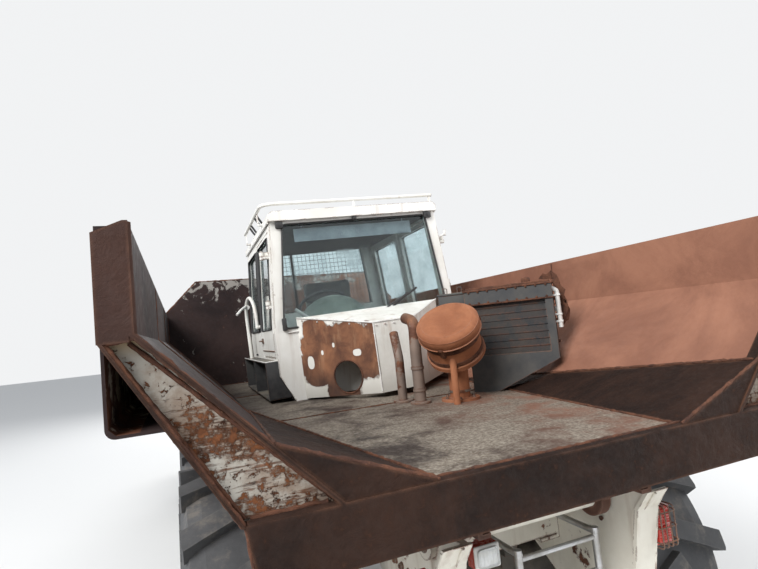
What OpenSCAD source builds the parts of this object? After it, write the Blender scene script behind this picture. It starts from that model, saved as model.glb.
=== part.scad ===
// Six-wheel articulated dump truck, standing on its tyres.
// X points right, Y forward, Z up. The origin is on the ground, mid length and mid width.

/* [Overall] */
// Length from the tail beam to the front bumper
truck_len = 9200; // [9100:10:9500]
// Running clearance of a pin or shaft in its bore
run_fit = 0.05; // [0.02:0.01:0.1]
// Gap at a seat between two pieces that touch
seat_gap = 0.3; // [0.1:0.1:0.5]
// Gap between pieces that move past each other
swing_gap = 6; // [5:0.5:8]

/* [Wheels] */
// Outer diameter of a tyre over its lugs
tyre_d = 1600; // [1570:5:1620]
// Width of a tyre
tyre_w = 530; // [500:5:545]
// Distance between the middles of a left and a right tyre
track_w = 1820; // [1800:5:1850]
// Diameter of the rim's bead seat
rim_d = 635; // [600:5:660]
// Height of a tread lug
lug_h = 42; // [30:1:50]
// Width of a tread lug
lug_w = 82; // [60:1:90]
// Lugs in each of a tyre's two rows
lug_count = 18; // [16:1:20]
// Slant of a lug across the tread in degrees
lug_slant = 24; // [10:1:28]
// Radius of an axle spindle
spindle_r = 90; // [80:1:100]

/* [Axle places] */
// Distance from the tail to the rear axle
rear_overhang = 1230; // [1200:5:1260]
// Distance between the two rear axles
bogie_len = 1670; // [1660:5:1700]
// Distance from the middle axle to the front axle
front_reach = 4000; // [3950:10:4050]
// Distance from the steering pin to the front axle
steer_reach = 1350; // [1330:5:1370]

/* [Dump body] */
// Inner length of the dump body
bed_len = 4300; // [4200:10:4350]
// Inner width between the side walls
bed_w = 2440; // [2400:10:2450]
// Width of the flat floor
floor_w = 1500; // [1460:10:1520]
// Height of the floor above the ground
floor_z = 1726; // [1722:1:1740]
// Height where the sloping side turns upright
knee_z = 2210; // [2180:5:2240]
// Height of the side wall's top
wall_top_z = 2477; // [2440:1:2500]
// Thickness of floor and side plates
plate_t = 12; // [8:1:14]
// Height of the headboard's top
head_top_z = 2815; // [2760:5:2860]
// Cut at the headboard's upper corners
head_cut = 300; // [200:10:340]
// Width of the rails and posts outside the side walls
rail_w = 68; // [60:1:76]
// Height of the tail beam
beam_h = 167; // [150:1:175]
// Length of the tail beam
beam_len = 2010; // [1950:10:2050]
// Depth of the tail channel and beam
tail_depth = 60; // [50:1:70]
// Width of the tail channel where it meets the floor
chute_w = 264; // [220:2:280]
// Depth of the folded rail under the knee
fold_h = 243; // [200:1:260]
// Tipping angle of the dump body in degrees
tip_max = 65; // [60:1:68]
// Height of the sills under the floor
sill_h = 200; // [180:1:202]

/* [Rear frame] */
// Outer width across the frame rails
frame_w = 720; // [700:5:740]
// Width of one frame rail
rail_t = 100; // [80:1:110]
// Height of a frame rail
rail_h = 320; // [300:5:330]
// Top of the frame rails above the ground
frame_z = 1500; // [1490:1:1502]
// Distance from the tail to the body's hinge pin
hinge_back = 330; // [325:1:335]
// Height of the body's hinge pin
hinge_z = 1440; // [1430:1:1445]
// Radius of the body's hinge pin
hinge_r = 40; // [30:1:42]
// Outer radius of the swivel tube
swivel_r = 170; // [160:1:175]
// Height of the swivel tube and of the steering joint
swivel_z = 930; // [920:1:940]
// Radius of the shaft that turns in the swivel tube
swivel_shaft_r = 120; // [100:1:130]

/* [Hoist cylinders] */
// Sideways place of a hoist cylinder
hoist_x = 545; // [540:1:550]
// Distance from the tail to the hoist's lower pin
hoist_low_back = 3400; // [3380:5:3420]
// Height of the hoist's lower pin
hoist_low_z = 1060; // [1055:1:1075]
// Distance from the tail to the hoist's upper pin
hoist_top_back = 1700; // [1680:5:1720]
// Height of the hoist's upper pin
hoist_top_z = 1600; // [1590:1:1605]
// Outer radius of a hoist barrel
hoist_r = 58; // [50:1:62]
// Radius of a hoist rod
hoist_rod_r = 34; // [28:1:38]

/* [Steering cylinders] */
// Sideways place of a steering cylinder
steer_x = 300; // [298:1:304]
// Distance of a steering cylinder's ends from the steering pin
steer_arm = 420; // [415:1:425]
// Outer radius of a steering barrel
steer_r = 38; // [34:1:39]
// Radius of a steering rod
steer_rod_r = 22; // [18:1:26]
// Radius of the steering pin
king_r = 55; // [45:1:60]

/* [Front unit] */
// Outer width across the front frame rails
front_frame_w = 940; // [920:5:950]
// Top of the front frame rails
front_frame_z = 1136; // [1130:1:1140]
// Width of the bonnet
bonnet_w = 1040; // [1000:5:1060]
// Height of the bonnet's rear top edge
bonnet_z = 2050; // [1950:10:2080]
// Thickness of the bonnet's sheet
bonnet_t = 12; // [6:1:14]
// Opening angle of the bonnet in degrees
bonnet_max = 60; // [40:1:65]
// Height of the cab deck
deck_z = 1640; // [1620:5:1650]
// Width of the cab deck
deck_w = 1240; // [1200:5:1244]
// Gap between a front tyre and its fender
fender_gap = 80; // [70:1:100]
// Radius of the hole in a cab mount
mount_hole_r = 11; // [8:0.5:12]

/* [Cab] */
// Width of the cab at its waist
cab_w = 1376; // [1350:2:1400]
// Width of the cab's floor
cab_floor_w = 1200; // [1180:2:1210]
// Width of the cab's roof
cab_roof_w = 1248; // [1230:2:1270]
// Length of the cab
cab_len = 1410; // [1390:5:1425]
// Height of the cab
cab_h = 1296; // [1280:2:1320]
// Height of the cab's waist above its floor
cab_waist = 435; // [420:5:450]
// Thickness of the cab's walls and doors
cab_t = 40; // [34:1:44]
// Turn of the cab in the dump body in degrees, rear to the right
cab_turn = 1; // [0.5:0.1:1.5]
// Lean of the cab in the dump body in degrees
cab_lean = 2.7; // [2.2:0.1:3.2]
// Distance from the tail to the cab's front
cab_back = 2160; // [2140:5:2170]
// Distance of a door's rear edge from the cab's front
door_y1 = 705; // [680:5:715]
// Radius of a door's hinge pin
door_pin_r = 8; // [6:0.5:9]
// Radius of the round opening in the cowl
nose_hole_r = 105; // [90:1:110]

/* [Hidden] */
$fn = 48;

tyre_r = tyre_d / 2;
fender_r = tyre_r + fender_gap;
tail_y = -truck_len / 2;
front_y = truck_len / 2;
rear_axle_y = tail_y + rear_overhang;
mid_axle_y = rear_axle_y + bogie_len;
bogie_y = rear_axle_y + bogie_len / 2;
front_axle_y = mid_axle_y + front_reach;
steer_y = front_axle_y - steer_reach;
wheel_x = track_w / 2;
tyre_in_x = wheel_x - tyre_w / 2;
hinge_y = tail_y + hinge_back;
hoist_low_y = tail_y + hoist_low_back;
hoist_top_y = tail_y + hoist_top_back;

// Dump body section: inner half widths and the outer corners one plate thickness away
wall_x = bed_w / 2;
floor_x = floor_w / 2;
side_dx = wall_x - floor_x;
side_dz = knee_z - floor_z;
side_len = sqrt(side_dx * side_dx + side_dz * side_dz);
side_nx = side_dz / side_len;
side_nz = -side_dx / side_len;
function outer_side_x(z) = floor_x + plate_t * side_nx + (z - floor_z - plate_t * side_nz) * side_dx / side_dz;
function outer_side_z(x) = floor_z + plate_t * side_nz + (x - floor_x - plate_t * side_nx) * side_dz / side_dx;
function inner_side_x(z) = floor_x + (z - floor_z) * side_dx / side_dz;
wall_out_x = wall_x + plate_t;
body_out_x = wall_out_x + rail_w;
floor_under_z = floor_z - plate_t;
head_y = tail_y + bed_len;
sill_z = floor_under_z - sill_h;

cream = "antiquewhite";
rust = "sienna";
dark = "dimgray";

// A flat outline in X and Z made long along Y
module along_y(y0, len) {
  translate([0, y0 + len, 0]) rotate([90, 0, 0]) linear_extrude(len) children();
}

// A flat outline in Y and Z made long along X
module along_x(x0, len) {
  translate([x0, 0, 0]) rotate([90, 0, 90]) linear_extrude(len) children();
}

// A box from its low corner to its high corner
module box(a, b) {
  translate(a) cube([b[0] - a[0], b[1] - a[1], b[2] - a[2]]);
}

// A round bar along X
module bar_x(x0, x1, y, z, r) {
  translate([x0, y, z]) rotate([0, 90, 0]) cylinder(h = x1 - x0, r = r);
}

// A round bar along Y
module bar_y(x, y0, y1, z, r) {
  translate([x, y0, z]) rotate([-90, 0, 0]) cylinder(h = y1 - y0, r = r);
}

// The children and their mirror image across the truck's middle
module both_sides() {
  children();
  mirror([1, 0, 0]) children();
}

// The children on one side of the truck: 1 is right, -1 is left
module on_side(side) {
  if (side > 0) children();
  else mirror([1, 0, 0]) children();
}

// Half outline points mirrored to close a symmetric section
function mirrored(pts) = [for (i = [len(pts) - 1 : -1 : 0]) [-pts[i][0], pts[i][1]]];

module body_section() {
  outer = [[outer_side_x(floor_under_z), floor_under_z], [wall_out_x, outer_side_z(wall_out_x)],
    [wall_out_x, wall_top_z]];
  inner = [[wall_x, wall_top_z], [wall_x, knee_z], [floor_x, floor_z]];
  polygon(concat(outer, inner, mirrored(inner), mirrored(outer)));
}

// Folded rail outside the body under the knee, open at both ends
fold_t = 8;
fold_low_z = knee_z - fold_h;
fold_curve = 24;
module fold_section() {
  difference() {
    union() {
      polygon([[wall_x + 1, outer_side_z(wall_x + 1)], [outer_side_x(fold_low_z), fold_low_z],
        [body_out_x - fold_curve, fold_low_z], [body_out_x, fold_low_z + fold_curve],
        [body_out_x, knee_z], [wall_out_x, knee_z + rail_w / 2], [wall_x + 1, knee_z + rail_w / 2]]);
      translate([body_out_x - fold_curve, fold_low_z + fold_curve]) circle(r = fold_curve);
    }
    polygon([[wall_out_x, outer_side_z(wall_out_x)],
      [outer_side_x(fold_low_z + fold_t), fold_low_z + fold_t],
      [body_out_x - fold_curve, fold_low_z + fold_t], [body_out_x - fold_t, fold_low_z + fold_curve],
      [body_out_x - fold_t, knee_z - fold_t / 2], [wall_out_x, knee_z + rail_w / 2 - fold_t]]);
  }
}

top_rail_h = 80;
module dump_shell() {
  color(rust) union() {
    along_y(tail_y + tail_depth, bed_len - tail_depth) body_section();
    both_sides() {
      along_y(tail_y + tail_depth, bed_len - tail_depth)
        translate([wall_x + 1, wall_top_z - top_rail_h]) square([body_out_x - wall_x - 1, top_rail_h]);
      along_y(tail_y + tail_depth, bed_len - tail_depth) fold_section();
    }
  }
}

// Headboard plate with its chamfered top and its stiffening bars on the front
head_rib = 90;
module headboard() {
  half = [[outer_side_x(floor_under_z), floor_under_z], [wall_out_x, outer_side_z(wall_out_x)],
    [wall_out_x, head_top_z - head_cut], [wall_out_x - head_cut, head_top_z]];
  color(rust) union() {
    along_y(head_y, plate_t) polygon(concat(half, mirrored(half)));
    for (z = [2000, 2380])
      box([-wall_x + 60, head_y + plate_t - 1, z], [wall_x - 60, head_y + plate_t + head_rib, z + 110]);
    box([-wall_out_x + head_cut, head_y + plate_t - 1, head_top_z - 60],
      [wall_out_x - head_cut, head_y + plate_t + head_rib / 2, head_top_z]);
    both_sides() box([sill_x0, head_y + plate_t - 1, floor_under_z],
      [sill_x1, head_y + plate_t + head_rib, head_top_z - 70]);
  }
}

// Tail: channel down both sloping edges, closed posts above the knee, and the deep beam below
post_low_z = knee_z - 20;
post_t = 14;
lip_r = 16;
lip_y = tail_y + lip_r + 2;
web_back = 46;
chute_x = floor_x + chute_w;
flange_t = 10;
gusset_x = 470;
gusset_reach = 2050;
gusset_up = 0.36;
module tail_frame() {
  color(rust) union() {
    along_y(tail_y, tail_depth) body_section();
    both_sides() {
      // upright post: flat plate with a thick rounded inner lip
      along_y(tail_y, post_t) polygon([[wall_out_x, post_low_z], [body_out_x, post_low_z],
        [body_out_x, wall_top_z - 28], [wall_out_x, wall_top_z]]);
      box([wall_out_x, tail_y + post_t - 1, post_low_z], [body_out_x, tail_y + tail_depth, post_low_z + 10]);
      box([body_out_x - flange_t, tail_y + post_t - 1, post_low_z],
        [body_out_x, tail_y + tail_depth, wall_top_z - 28]);
      box([wall_out_x, tail_y + post_t - 1, wall_top_z - 40], [body_out_x - 1, tail_y + tail_depth, wall_top_z - 28]);
      translate([wall_out_x - 2, lip_y, post_low_z + 3]) cylinder(h = wall_top_z - post_low_z - 5, r = lip_r);
      // recessed web of the channel and its outer flange
      along_y(tail_y + web_back, flange_t) polygon([[outer_side_x(floor_z) - 4, floor_z - 4],
        [chute_x - 3, floor_z - 4], [body_out_x - 4, post_low_z + 2], [wall_out_x - 4, knee_z]]);
      along_y(tail_y, tail_depth) polygon([[chute_x - flange_t, floor_z - 6], [chute_x, floor_z - 6],
        [body_out_x, post_low_z + 4], [body_out_x - flange_t, post_low_z + 4]]);
      // gusset plate between floor and sloping side
      gusset();
    }
    // tail beam: closed box with a rounded top lip
    along_y(tail_y, tail_depth) polygon([[-beam_len / 2, floor_z - 2], [-beam_len / 2 + 25, floor_z - beam_h],
      [beam_len / 2 - 25, floor_z - beam_h], [beam_len / 2, floor_z - 2]]);
    bar_x(-beam_len / 2 + 5, beam_len / 2 - 5, lip_y, floor_z - lip_r + 6, lip_r);
  }
}

// Three-cornered wedge over the corner between floor and sloping side at the tail:
// a long prism over that corner, cut by the plane through the wedge's three outer corners
gusset_y = tail_y + 6;
module gusset() {
  rise = gusset_up * side_dz;
  a = [gusset_x, gusset_y, floor_z];
  b = [inner_side_x(floor_z + rise), gusset_y, floor_z + rise];
  c = [floor_x, tail_y + gusset_reach, floor_z];
  n = cross(b - a, c - a);
  reach = 2 * gusset_reach;
  intersection() {
    along_y(gusset_y, gusset_reach) polygon([[gusset_x - 60, floor_z + seat_gap], [floor_x - seat_gap / 2,
      floor_z + seat_gap], [inner_side_x(b[2] + 60) - 2 * seat_gap, b[2] + 60], [gusset_x - 60, b[2] + 60]]);
    translate(a) rotate([0, acos(n[2] / norm(n)), atan2(n[1], n[0])])
      translate([-reach, -reach, -reach]) cube([2 * reach, 2 * reach, reach]);
  }
  // root that joins the wedge to the tail's plates
  along_y(gusset_y + 2, tail_depth - 8) polygon([for (p = [a, [floor_x, 0, floor_z], b])
    [floor_x + 0.9 * (p[0] - floor_x) + 6, floor_z + 0.9 * (p[2] - floor_z) - 4]]);
}

// Sills, cross members, hinge ears and hoist ears under the floor
sill_x0 = 302;
sill_x1 = 345;
sill_t = 14;
ear_r = 75;
eye_half = 40;
ear_t = 30;
ear_gap = 6;
cross_h = 74;
cross_w = 110;
cross_places = [900, 1190, 2050, 2600, 3150, 3700, 4180];
module body_sills() {
  color(rust) difference() {
    union() {
      both_sides() {
        // channel sill, open towards the middle
        along_y(tail_y + tail_depth, bed_len - tail_depth + plate_t) polygon([[sill_x0, sill_z],
          [sill_x1, sill_z], [sill_x1, floor_under_z - seat_gap], [sill_x0, floor_under_z - seat_gap],
          [sill_x0, floor_under_z - sill_t], [sill_x1 - sill_t, floor_under_z - sill_t],
          [sill_x1 - sill_t, sill_z + sill_t], [sill_x0, sill_z + sill_t]]);
        // hinge ear
        along_x(sill_x0, sill_x1 - sill_x0) union() {
          translate([hinge_y, hinge_z]) circle(r = ear_r);
          polygon([[hinge_y - ear_r, hinge_z], [hinge_y + ear_r, hinge_z], [hinge_y + 190, sill_z + 1],
            [hinge_y - 190, sill_z + 1]]);
        }
        // two ears each side of a hoist eye
        for (x = [hoist_x - eye_half - ear_gap - ear_t, hoist_x + eye_half + ear_gap])
          along_x(x, ear_t) union() {
            translate([hoist_top_y, hoist_top_z]) circle(r = 58);
            polygon([[hoist_top_y - 58, hoist_top_z], [hoist_top_y + 58, hoist_top_z],
              [hoist_top_y + 110, floor_under_z - seat_gap], [hoist_top_y - 110, floor_under_z - seat_gap]]);
          }
        // cross members between and outside the sills
        for (y = cross_places) {
          box([sill_x1 - sill_t + 1, tail_y + y, floor_under_z - cross_h],
            [floor_x - 30, tail_y + y + cross_w, floor_under_z - seat_gap]);
        }
        bar_x(hoist_x + eye_half + ear_gap + ear_t - 1, hoist_x + eye_half + ear_gap + ear_t + 14,
          hoist_top_y, hoist_top_z, 40);
      }
      for (y = cross_places)
        box([-sill_x0 - 1, tail_y + y, floor_under_z - cross_h],
          [sill_x0 + 1, tail_y + y + cross_w, floor_under_z - seat_gap]);
    }
    bar_x(-sill_x1 - 1, sill_x1 + 1, hinge_y, hinge_z, hinge_r + run_fit);
  }
}

// Cab frame of reference: X right, Y towards the cab's rear, Z up, origin at the floor's left front corner
cab_right_z = cab_floor_w * sin(cab_lean);
cab_right_x = inner_side_x(floor_z + seat_gap + cab_right_z) - seat_gap * 2 - cab_len * sin(cab_turn);
cab_origin = [cab_right_x - cab_floor_w * cos(cab_lean) * cos(cab_turn), tail_y + cab_back, floor_z + seat_gap];
module in_cab() {
  translate(cab_origin) rotate([0, 0, -cab_turn]) rotate([0, -cab_lean, 0])
    translate([cab_floor_w / 2, 0, 0]) children();
}

cab_chamfer = 180;
cab_half_pts = [[cab_floor_w / 2, 0], [cab_w / 2, cab_chamfer], [cab_w / 2, cab_waist], [cab_roof_w / 2, cab_h]];
function cab_side_x(z) = cab_w / 2 - (z - cab_waist) * (cab_w - cab_roof_w) / 2 / (cab_h - cab_waist);
roof_t = 70;
pillar = 62;
pillar_top = 85;
module cab_section() { polygon(concat(cab_half_pts, mirrored(cab_half_pts))); }
module cab_inner_section() {
  half = [[cab_floor_w / 2 - cab_t / 2, cab_t], [cab_w / 2 - cab_t, cab_chamfer + cab_t / 2],
    [cab_w / 2 - cab_t, cab_waist], [cab_side_x(cab_h - roof_t) - cab_t, cab_h - roof_t + 1]];
  polygon(concat(half, mirrored(half)));
}

// Doors fill this range along the cab; the shell keeps the rest as pillars
door_y0 = 80;
door_z0 = 300;
door_z1 = cab_h - roof_t - 46;
door_gap = swing_gap;
door_rear_gap = door_gap + 8;
window_z0 = cab_waist + 65;
window_z1 = door_z1 - 36;
window_edge = 46;
mullion = 60;
rear_window_in = 150;
rear_z0 = 640;
screen_z0 = 490;
screen_z1 = cab_h - roof_t - 23;

// Door hinges stand out from the front pillar; the axis is upright in the cab
door_axis_x = cab_w / 2 + 10;
door_axis_y = door_y0 - 12;
door_hinge_z = [640, 980];
door_knuckle_r = door_pin_r + 8;
hinge_step = 22;
module screen_outline() {
  polygon([[-cab_side_x(screen_z0) + pillar, screen_z0], [cab_side_x(screen_z0) - pillar, screen_z0],
    [cab_side_x(screen_z1) - pillar_top, screen_z1], [-cab_side_x(screen_z1) + pillar_top, screen_z1]]);
}
module rear_window_outline() {
  polygon([[-cab_side_x(rear_z0) + rear_window_in, rear_z0], [cab_side_x(rear_z0) - rear_window_in, rear_z0],
    [cab_side_x(screen_z1) - rear_window_in, screen_z1], [-cab_side_x(screen_z1) + rear_window_in, screen_z1]]);
}
module quarter_outline() {
  translate([door_y1 + mullion, window_z0])
    square([cab_len - cab_t - 50 - door_y1 - mullion, window_z1 - window_z0]);
}
module cab_shell() {
  color(cream) in_cab() {
    union() {
      difference() {
        along_y(0, cab_len) difference() {
          cab_section();
          translate([-cab_w, cab_h - roof_t]) square([2 * cab_w, roof_t + 1]);
        }
        along_y(cab_t, cab_len - 2 * cab_t) cab_inner_section();
        // windscreen and rear window openings
        along_y(-1, cab_t + 2) screen_outline();
        along_y(cab_len - cab_t - 1, cab_t + 2) rear_window_outline();
        // door openings, and quarter window openings behind the doors
        both_sides() box([cab_roof_w / 2 - 80, door_y0, door_z0], [cab_w, door_y1, door_z1]);
        both_sides() along_x(cab_roof_w / 2 - 80, 200) quarter_outline();
      }
      // lower halves of the door hinges with their pins
      both_sides() for (z = door_hinge_z) {
        translate([door_axis_x, door_axis_y, z]) cylinder(h = hinge_step, r = door_knuckle_r);
        box([cab_side_x(z + hinge_step) - 8, door_axis_y - 40, z + 1],
          [door_axis_x, door_axis_y, z + hinge_step - 1]);
        translate([door_axis_x, door_axis_y, z + 1]) cylinder(h = 60, r = door_pin_r);
      }
      grab_handle();
    }
  }
}

step_x1 = cab_w / 2 + 85;
step_z0 = 30;
step_z1 = 285;
step_y0 = 30;
step_t = 8;

// Bent tube over the left step: rear leg down to the step's top, front leg with its foot in the wall
handle_r = 14;
handle_y0 = 745;
handle_y1 = 1085;
handle_in = 705;
handle_out = step_x1 - 30;
handle_z = 620;
handle_foot_z = 540;
module grab_handle() {
  reach = norm([handle_out - handle_in, handle_y1 - handle_y0]);
  bar_x(-handle_in, -cab_side_x(handle_foot_z) + 8, handle_y0, handle_foot_z, handle_r);
  translate([-handle_in, handle_y0, 0]) {
    translate([0, 0, handle_foot_z]) sphere(r = handle_r + 2);
    rotate([0, 0, atan2(handle_out - handle_in, handle_y1 - handle_y0)]) {
      translate([0, 0, handle_foot_z]) cylinder(h = handle_z - handle_foot_z, r = handle_r);
      translate([0, reach / 2, handle_z]) rotate([90, 0, 90]) rotate_extrude(angle = 180)
        translate([reach / 2, 0]) circle(r = handle_r);
      for (y = [0, reach]) translate([0, y, handle_z]) sphere(r = handle_r + 1.5);
      translate([0, reach, step_z1 + seat_gap]) cylinder(h = handle_z - step_z1 - seat_gap, r = handle_r);
    }
  }
}

// Step box along the left side under the door, open where the feet go
module cab_steps() {
  color(dark) in_cab() mirror([1, 0, 0]) difference() {
    along_y(step_y0, cab_len - 2 * step_y0) polygon([[cab_floor_w / 2 + (cab_w - cab_floor_w) / 2 * step_z0
      / cab_chamfer + 2 * seat_gap, step_z0], [cab_w / 2 + seat_gap, cab_chamfer], [cab_w / 2 + seat_gap, step_z1],
      [step_x1, step_z1], [step_x1, step_z0]]);
    // foot hole and two bays behind it
    for (y = [step_y0 + step_t, cab_len / 2 + step_t])
      box([cab_w / 2 + step_t, y, step_z0 + step_t], [step_x1 + 1, y + cab_len / 2 - step_y0 - 2 * step_t, step_z1 - step_t]);
  }
}

// Roof panel with its front visor edge, and the tube rail along its front and left edges
visor = 30;
rail_r = 13;
rail_up = 58;
rail_y = 10;
rail_x0 = -cab_roof_w / 2 - 45;
rail_x1 = cab_roof_w / 2 + 10;
rail_end = 1040;
rail_bend = 80;
module cab_roof() {
  half = [[cab_side_x(cab_h - roof_t) + 12, cab_h - roof_t + seat_gap], [cab_side_x(cab_h) + 14, cab_h - 22],
    [cab_side_x(cab_h) - 16, cab_h]];
  z = cab_h + rail_up;
  color(cream) in_cab() union() {
    along_y(-visor, cab_len + visor + 20) polygon(concat(half, mirrored(half)));
    bar_x(rail_x0 + rail_bend, rail_x1, rail_y, z, rail_r);
    translate([rail_x0 + rail_bend, rail_y + rail_bend, z]) rotate([0, 0, 180]) rotate_extrude(angle = 90)
      translate([rail_bend, 0]) circle(r = rail_r);
    bar_y(rail_x0, rail_y + rail_bend, rail_end, z, rail_r);
    // feet
    for (x = [rail_x1 - 20, 0])
      translate([x, rail_y, cab_h - 30]) cylinder(h = rail_up + 30, r = rail_r - 4);
    for (y = [rail_y + 220, rail_end - 40])
      box([rail_x0, y, cab_h - 40], [-cab_roof_w / 2 + 30, y + 26, cab_h - 30]);
    for (y = [rail_y + 220, rail_end - 40])
      box([rail_x0 - 4, y, cab_h - 40], [rail_x0 + 4, y + 26, z]);
  }
}

// Cowl in front of the windscreen: cornered plan, top falling forward, round opening in its left face
nose_len = 430;
nose_x0 = 533;
nose_x1 = 140;
nose_z0 = 553;
nose_z1 = 450;
nose_t = 8;
nose_low = 8;
nose_turn = atan2(nose_x0 - nose_x1, nose_len);
nose_hole_at = 0.6;
nose_hole_z = 128;
module nose_solid(inset) {
  intersection() {
    translate([0, 0, nose_low - (inset > 0 ? 1 : 0)]) linear_extrude(nose_z0)
      polygon([[-nose_x0 + 1.4 * inset, 1], [-nose_x1 + inset / 2, -nose_len + inset],
        [nose_x1 - inset / 2, -nose_len + inset], [nose_x0 - 1.4 * inset, 1]]);
    along_x(-cab_w / 2, cab_w) polygon([[2, nose_low - 2], [2, nose_z0 - inset], [-nose_len - 1, nose_z1 - inset],
      [-nose_len - 1, nose_low - 2]]);
  }
}
module cab_nose() {
  color(cream) in_cab() difference() {
    nose_solid(0);
    nose_solid(nose_t);
    translate([-nose_x0 + nose_hole_at * (nose_x0 - nose_x1), -nose_hole_at * nose_len, nose_hole_z])
      rotate([0, 0, nose_turn]) rotate([0, 90, 0]) cylinder(h = 160, r = nose_hole_r, center = true);
    translate([-cab_w, -seat_gap, -1]) cube([2 * cab_w, 10, cab_h]);
  }
}

// A door: its panel with the window cut out, and the upper halves of its hinges
module door_window() {
  translate([door_y0 + window_edge, window_z0])
    square([door_y1 - door_y0 - 2 * window_edge - door_rear_gap, window_z1 - window_z0]);
}
module cab_door(side) {
  color(cream) in_cab() on_side(side) difference() {
    union() {
      intersection() {
        along_x(cab_roof_w / 2 - 80, 200) difference() {
          translate([door_y0 + door_gap, door_z0 + door_gap]) square([door_y1 - door_y0 - door_gap - door_rear_gap,
            door_z1 - door_z0 - 2 * door_gap]);
          door_window();
        }
        along_y(0, cab_len) difference() {
          cab_section();
          cab_inner_section();
        }
      }
      for (z = door_hinge_z) {
        z0 = z + hinge_step + 2;
        wall = cab_side_x(z0);
        translate([door_axis_x, door_axis_y, z0]) cylinder(h = 30, r = door_knuckle_r);
        box([wall + door_gap, door_axis_y, z0 + 1], [door_axis_x, door_axis_y + 62, z0 + 29]);
        box([wall - 6, door_axis_y + 26, z0 + 1], [wall + door_gap + 1, door_axis_y + 62, z0 + 29]);
      }
    }
    for (z = door_hinge_z)
      translate([door_axis_x, door_axis_y, z + hinge_step]) cylinder(h = 40, r = door_pin_r + run_fit);
  }
}

// Panes: the doors' own, and those of the screen, rear window and quarter windows
pane_t = 6;
module side_pane_layer() {
  along_y(0, cab_len) polygon([[cab_w / 2 - cab_t / 2, cab_waist], [cab_w / 2 - cab_t / 2 + pane_t, cab_waist],
    [cab_roof_w / 2 - cab_t / 2 + pane_t, cab_h], [cab_roof_w / 2 - cab_t / 2, cab_h]]);
}
module door_pane(side) {
  color("slategray", 0.5) in_cab() on_side(side) intersection() {
    along_x(cab_roof_w / 2 - 80, 200) door_window();
    side_pane_layer();
  }
}
module cab_glass() {
  color("slategray", 0.5) in_cab() {
    along_y(cab_t / 2 - pane_t / 2, pane_t) screen_outline();
    along_y(cab_len - cab_t / 2 - pane_t / 2, pane_t) rear_window_outline();
    both_sides() intersection() {
      along_x(cab_roof_w / 2 - 80, 200) quarter_outline();
      side_pane_layer();
    }
  }
}

// Seat on its pedestal, and the domed instrument cover on its column
dash_x = -170;
dash_y = 330;
dash_r = 300;
seat_y = 760;
module cab_seat() {
  color(dark) in_cab() union() {
    box([-120, seat_y, cab_t + seat_gap], [120, seat_y + 240, 300]);
    box([-230, seat_y - 100, 299], [230, seat_y + 340, 400]);
    box([-220, seat_y + 280, 380], [220, seat_y + 380, 880]);
    translate([dash_x, dash_y, cab_t + seat_gap]) cylinder(h = 430, r = 60);
    intersection() {
      translate([dash_x, dash_y, 400]) sphere(r = dash_r);
      box([dash_x - dash_r - 1, cab_t + 12, 460], [dash_x + dash_r + 1, dash_y + dash_r, 720]);
    }
  }
}

// Air cleaner can on a pipe stub and a post, its lid turned to the tail and the left
drum_r = 170;
drum_h = 230;
drum_lid = [197, 1110, 441];
drum_lean = 38;
drum_turn = 44.7;
module air_cleaner() {
  color(rust) union() {
    translate([drum_lid[0], tail_y + drum_lid[1], floor_z + drum_lid[2]])
      rotate([0, 0, -drum_turn]) rotate([drum_lean, 0, 0]) translate([0, 0, -drum_h]) union() {
        cylinder(h = drum_h - 40, r = drum_r - 20);
        cylinder(h = 24, r = drum_r - 8);
        translate([0, 0, drum_h - 70]) cylinder(h = 50, r = drum_r);
        translate([0, 0, drum_h - 21]) cylinder(h = 21, r1 = drum_r - 3, r2 = drum_r - 30);
      }
    translate([drum_foot[0], tail_y + drum_foot[1], floor_z + seat_gap]) cylinder(h = 290, r = 55);
    translate([drum_foot[0], tail_y + drum_foot[1], floor_z + seat_gap]) cylinder(h = 14, r = 105);
    translate([drum_foot[0] - 90, tail_y + drum_foot[1] - 120, floor_z + seat_gap]) cylinder(h = 300, r = 18);
  }
}
drum_foot = [290, 1210];

// Radiator pack standing askew, its lower edge rising over the tail's wedge to the sloping side
rad_x = 470;
rad_back = 1360;
rad_turn = 42.6;
rad_len = 500;
rad_t = 110;
rad_h = 600;
rad_edge = 42;
rad_tank = 95;
rad_core_t = 60;
module radiator() {
  far_x = rad_x + rad_t * sin(rad_turn);
  far_y = rad_back + rad_t * cos(rad_turn);
  wedge_run = (floor_x - gusset_x) / (gusset_reach - gusset_y + tail_y);
  u1 = (gusset_x + wedge_run * (far_y - gusset_y + tail_y) - far_x) / (cos(rad_turn) + wedge_run * sin(rad_turn));
  rise = (far_x + rad_len * cos(rad_turn) - floor_x) * side_dz / side_dx + 3 * seat_gap;
  color("darkslategray") translate([rad_x, tail_y + rad_back, floor_z + seat_gap]) rotate([0, 0, -rad_turn])
    difference() {
      along_y(0, rad_t) polygon([[0, 0], [u1 - 2 * seat_gap, 0], [rad_len, rise], [rad_len, rad_h], [0, rad_h]]);
      for (y = [-1, rad_t - (rad_t - rad_core_t) / 2])
        box([rad_edge, y, rise + rad_edge], [rad_len - rad_edge, y + (rad_t - rad_core_t) / 2 + 1, rad_h - rad_tank]);
    }
}

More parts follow.
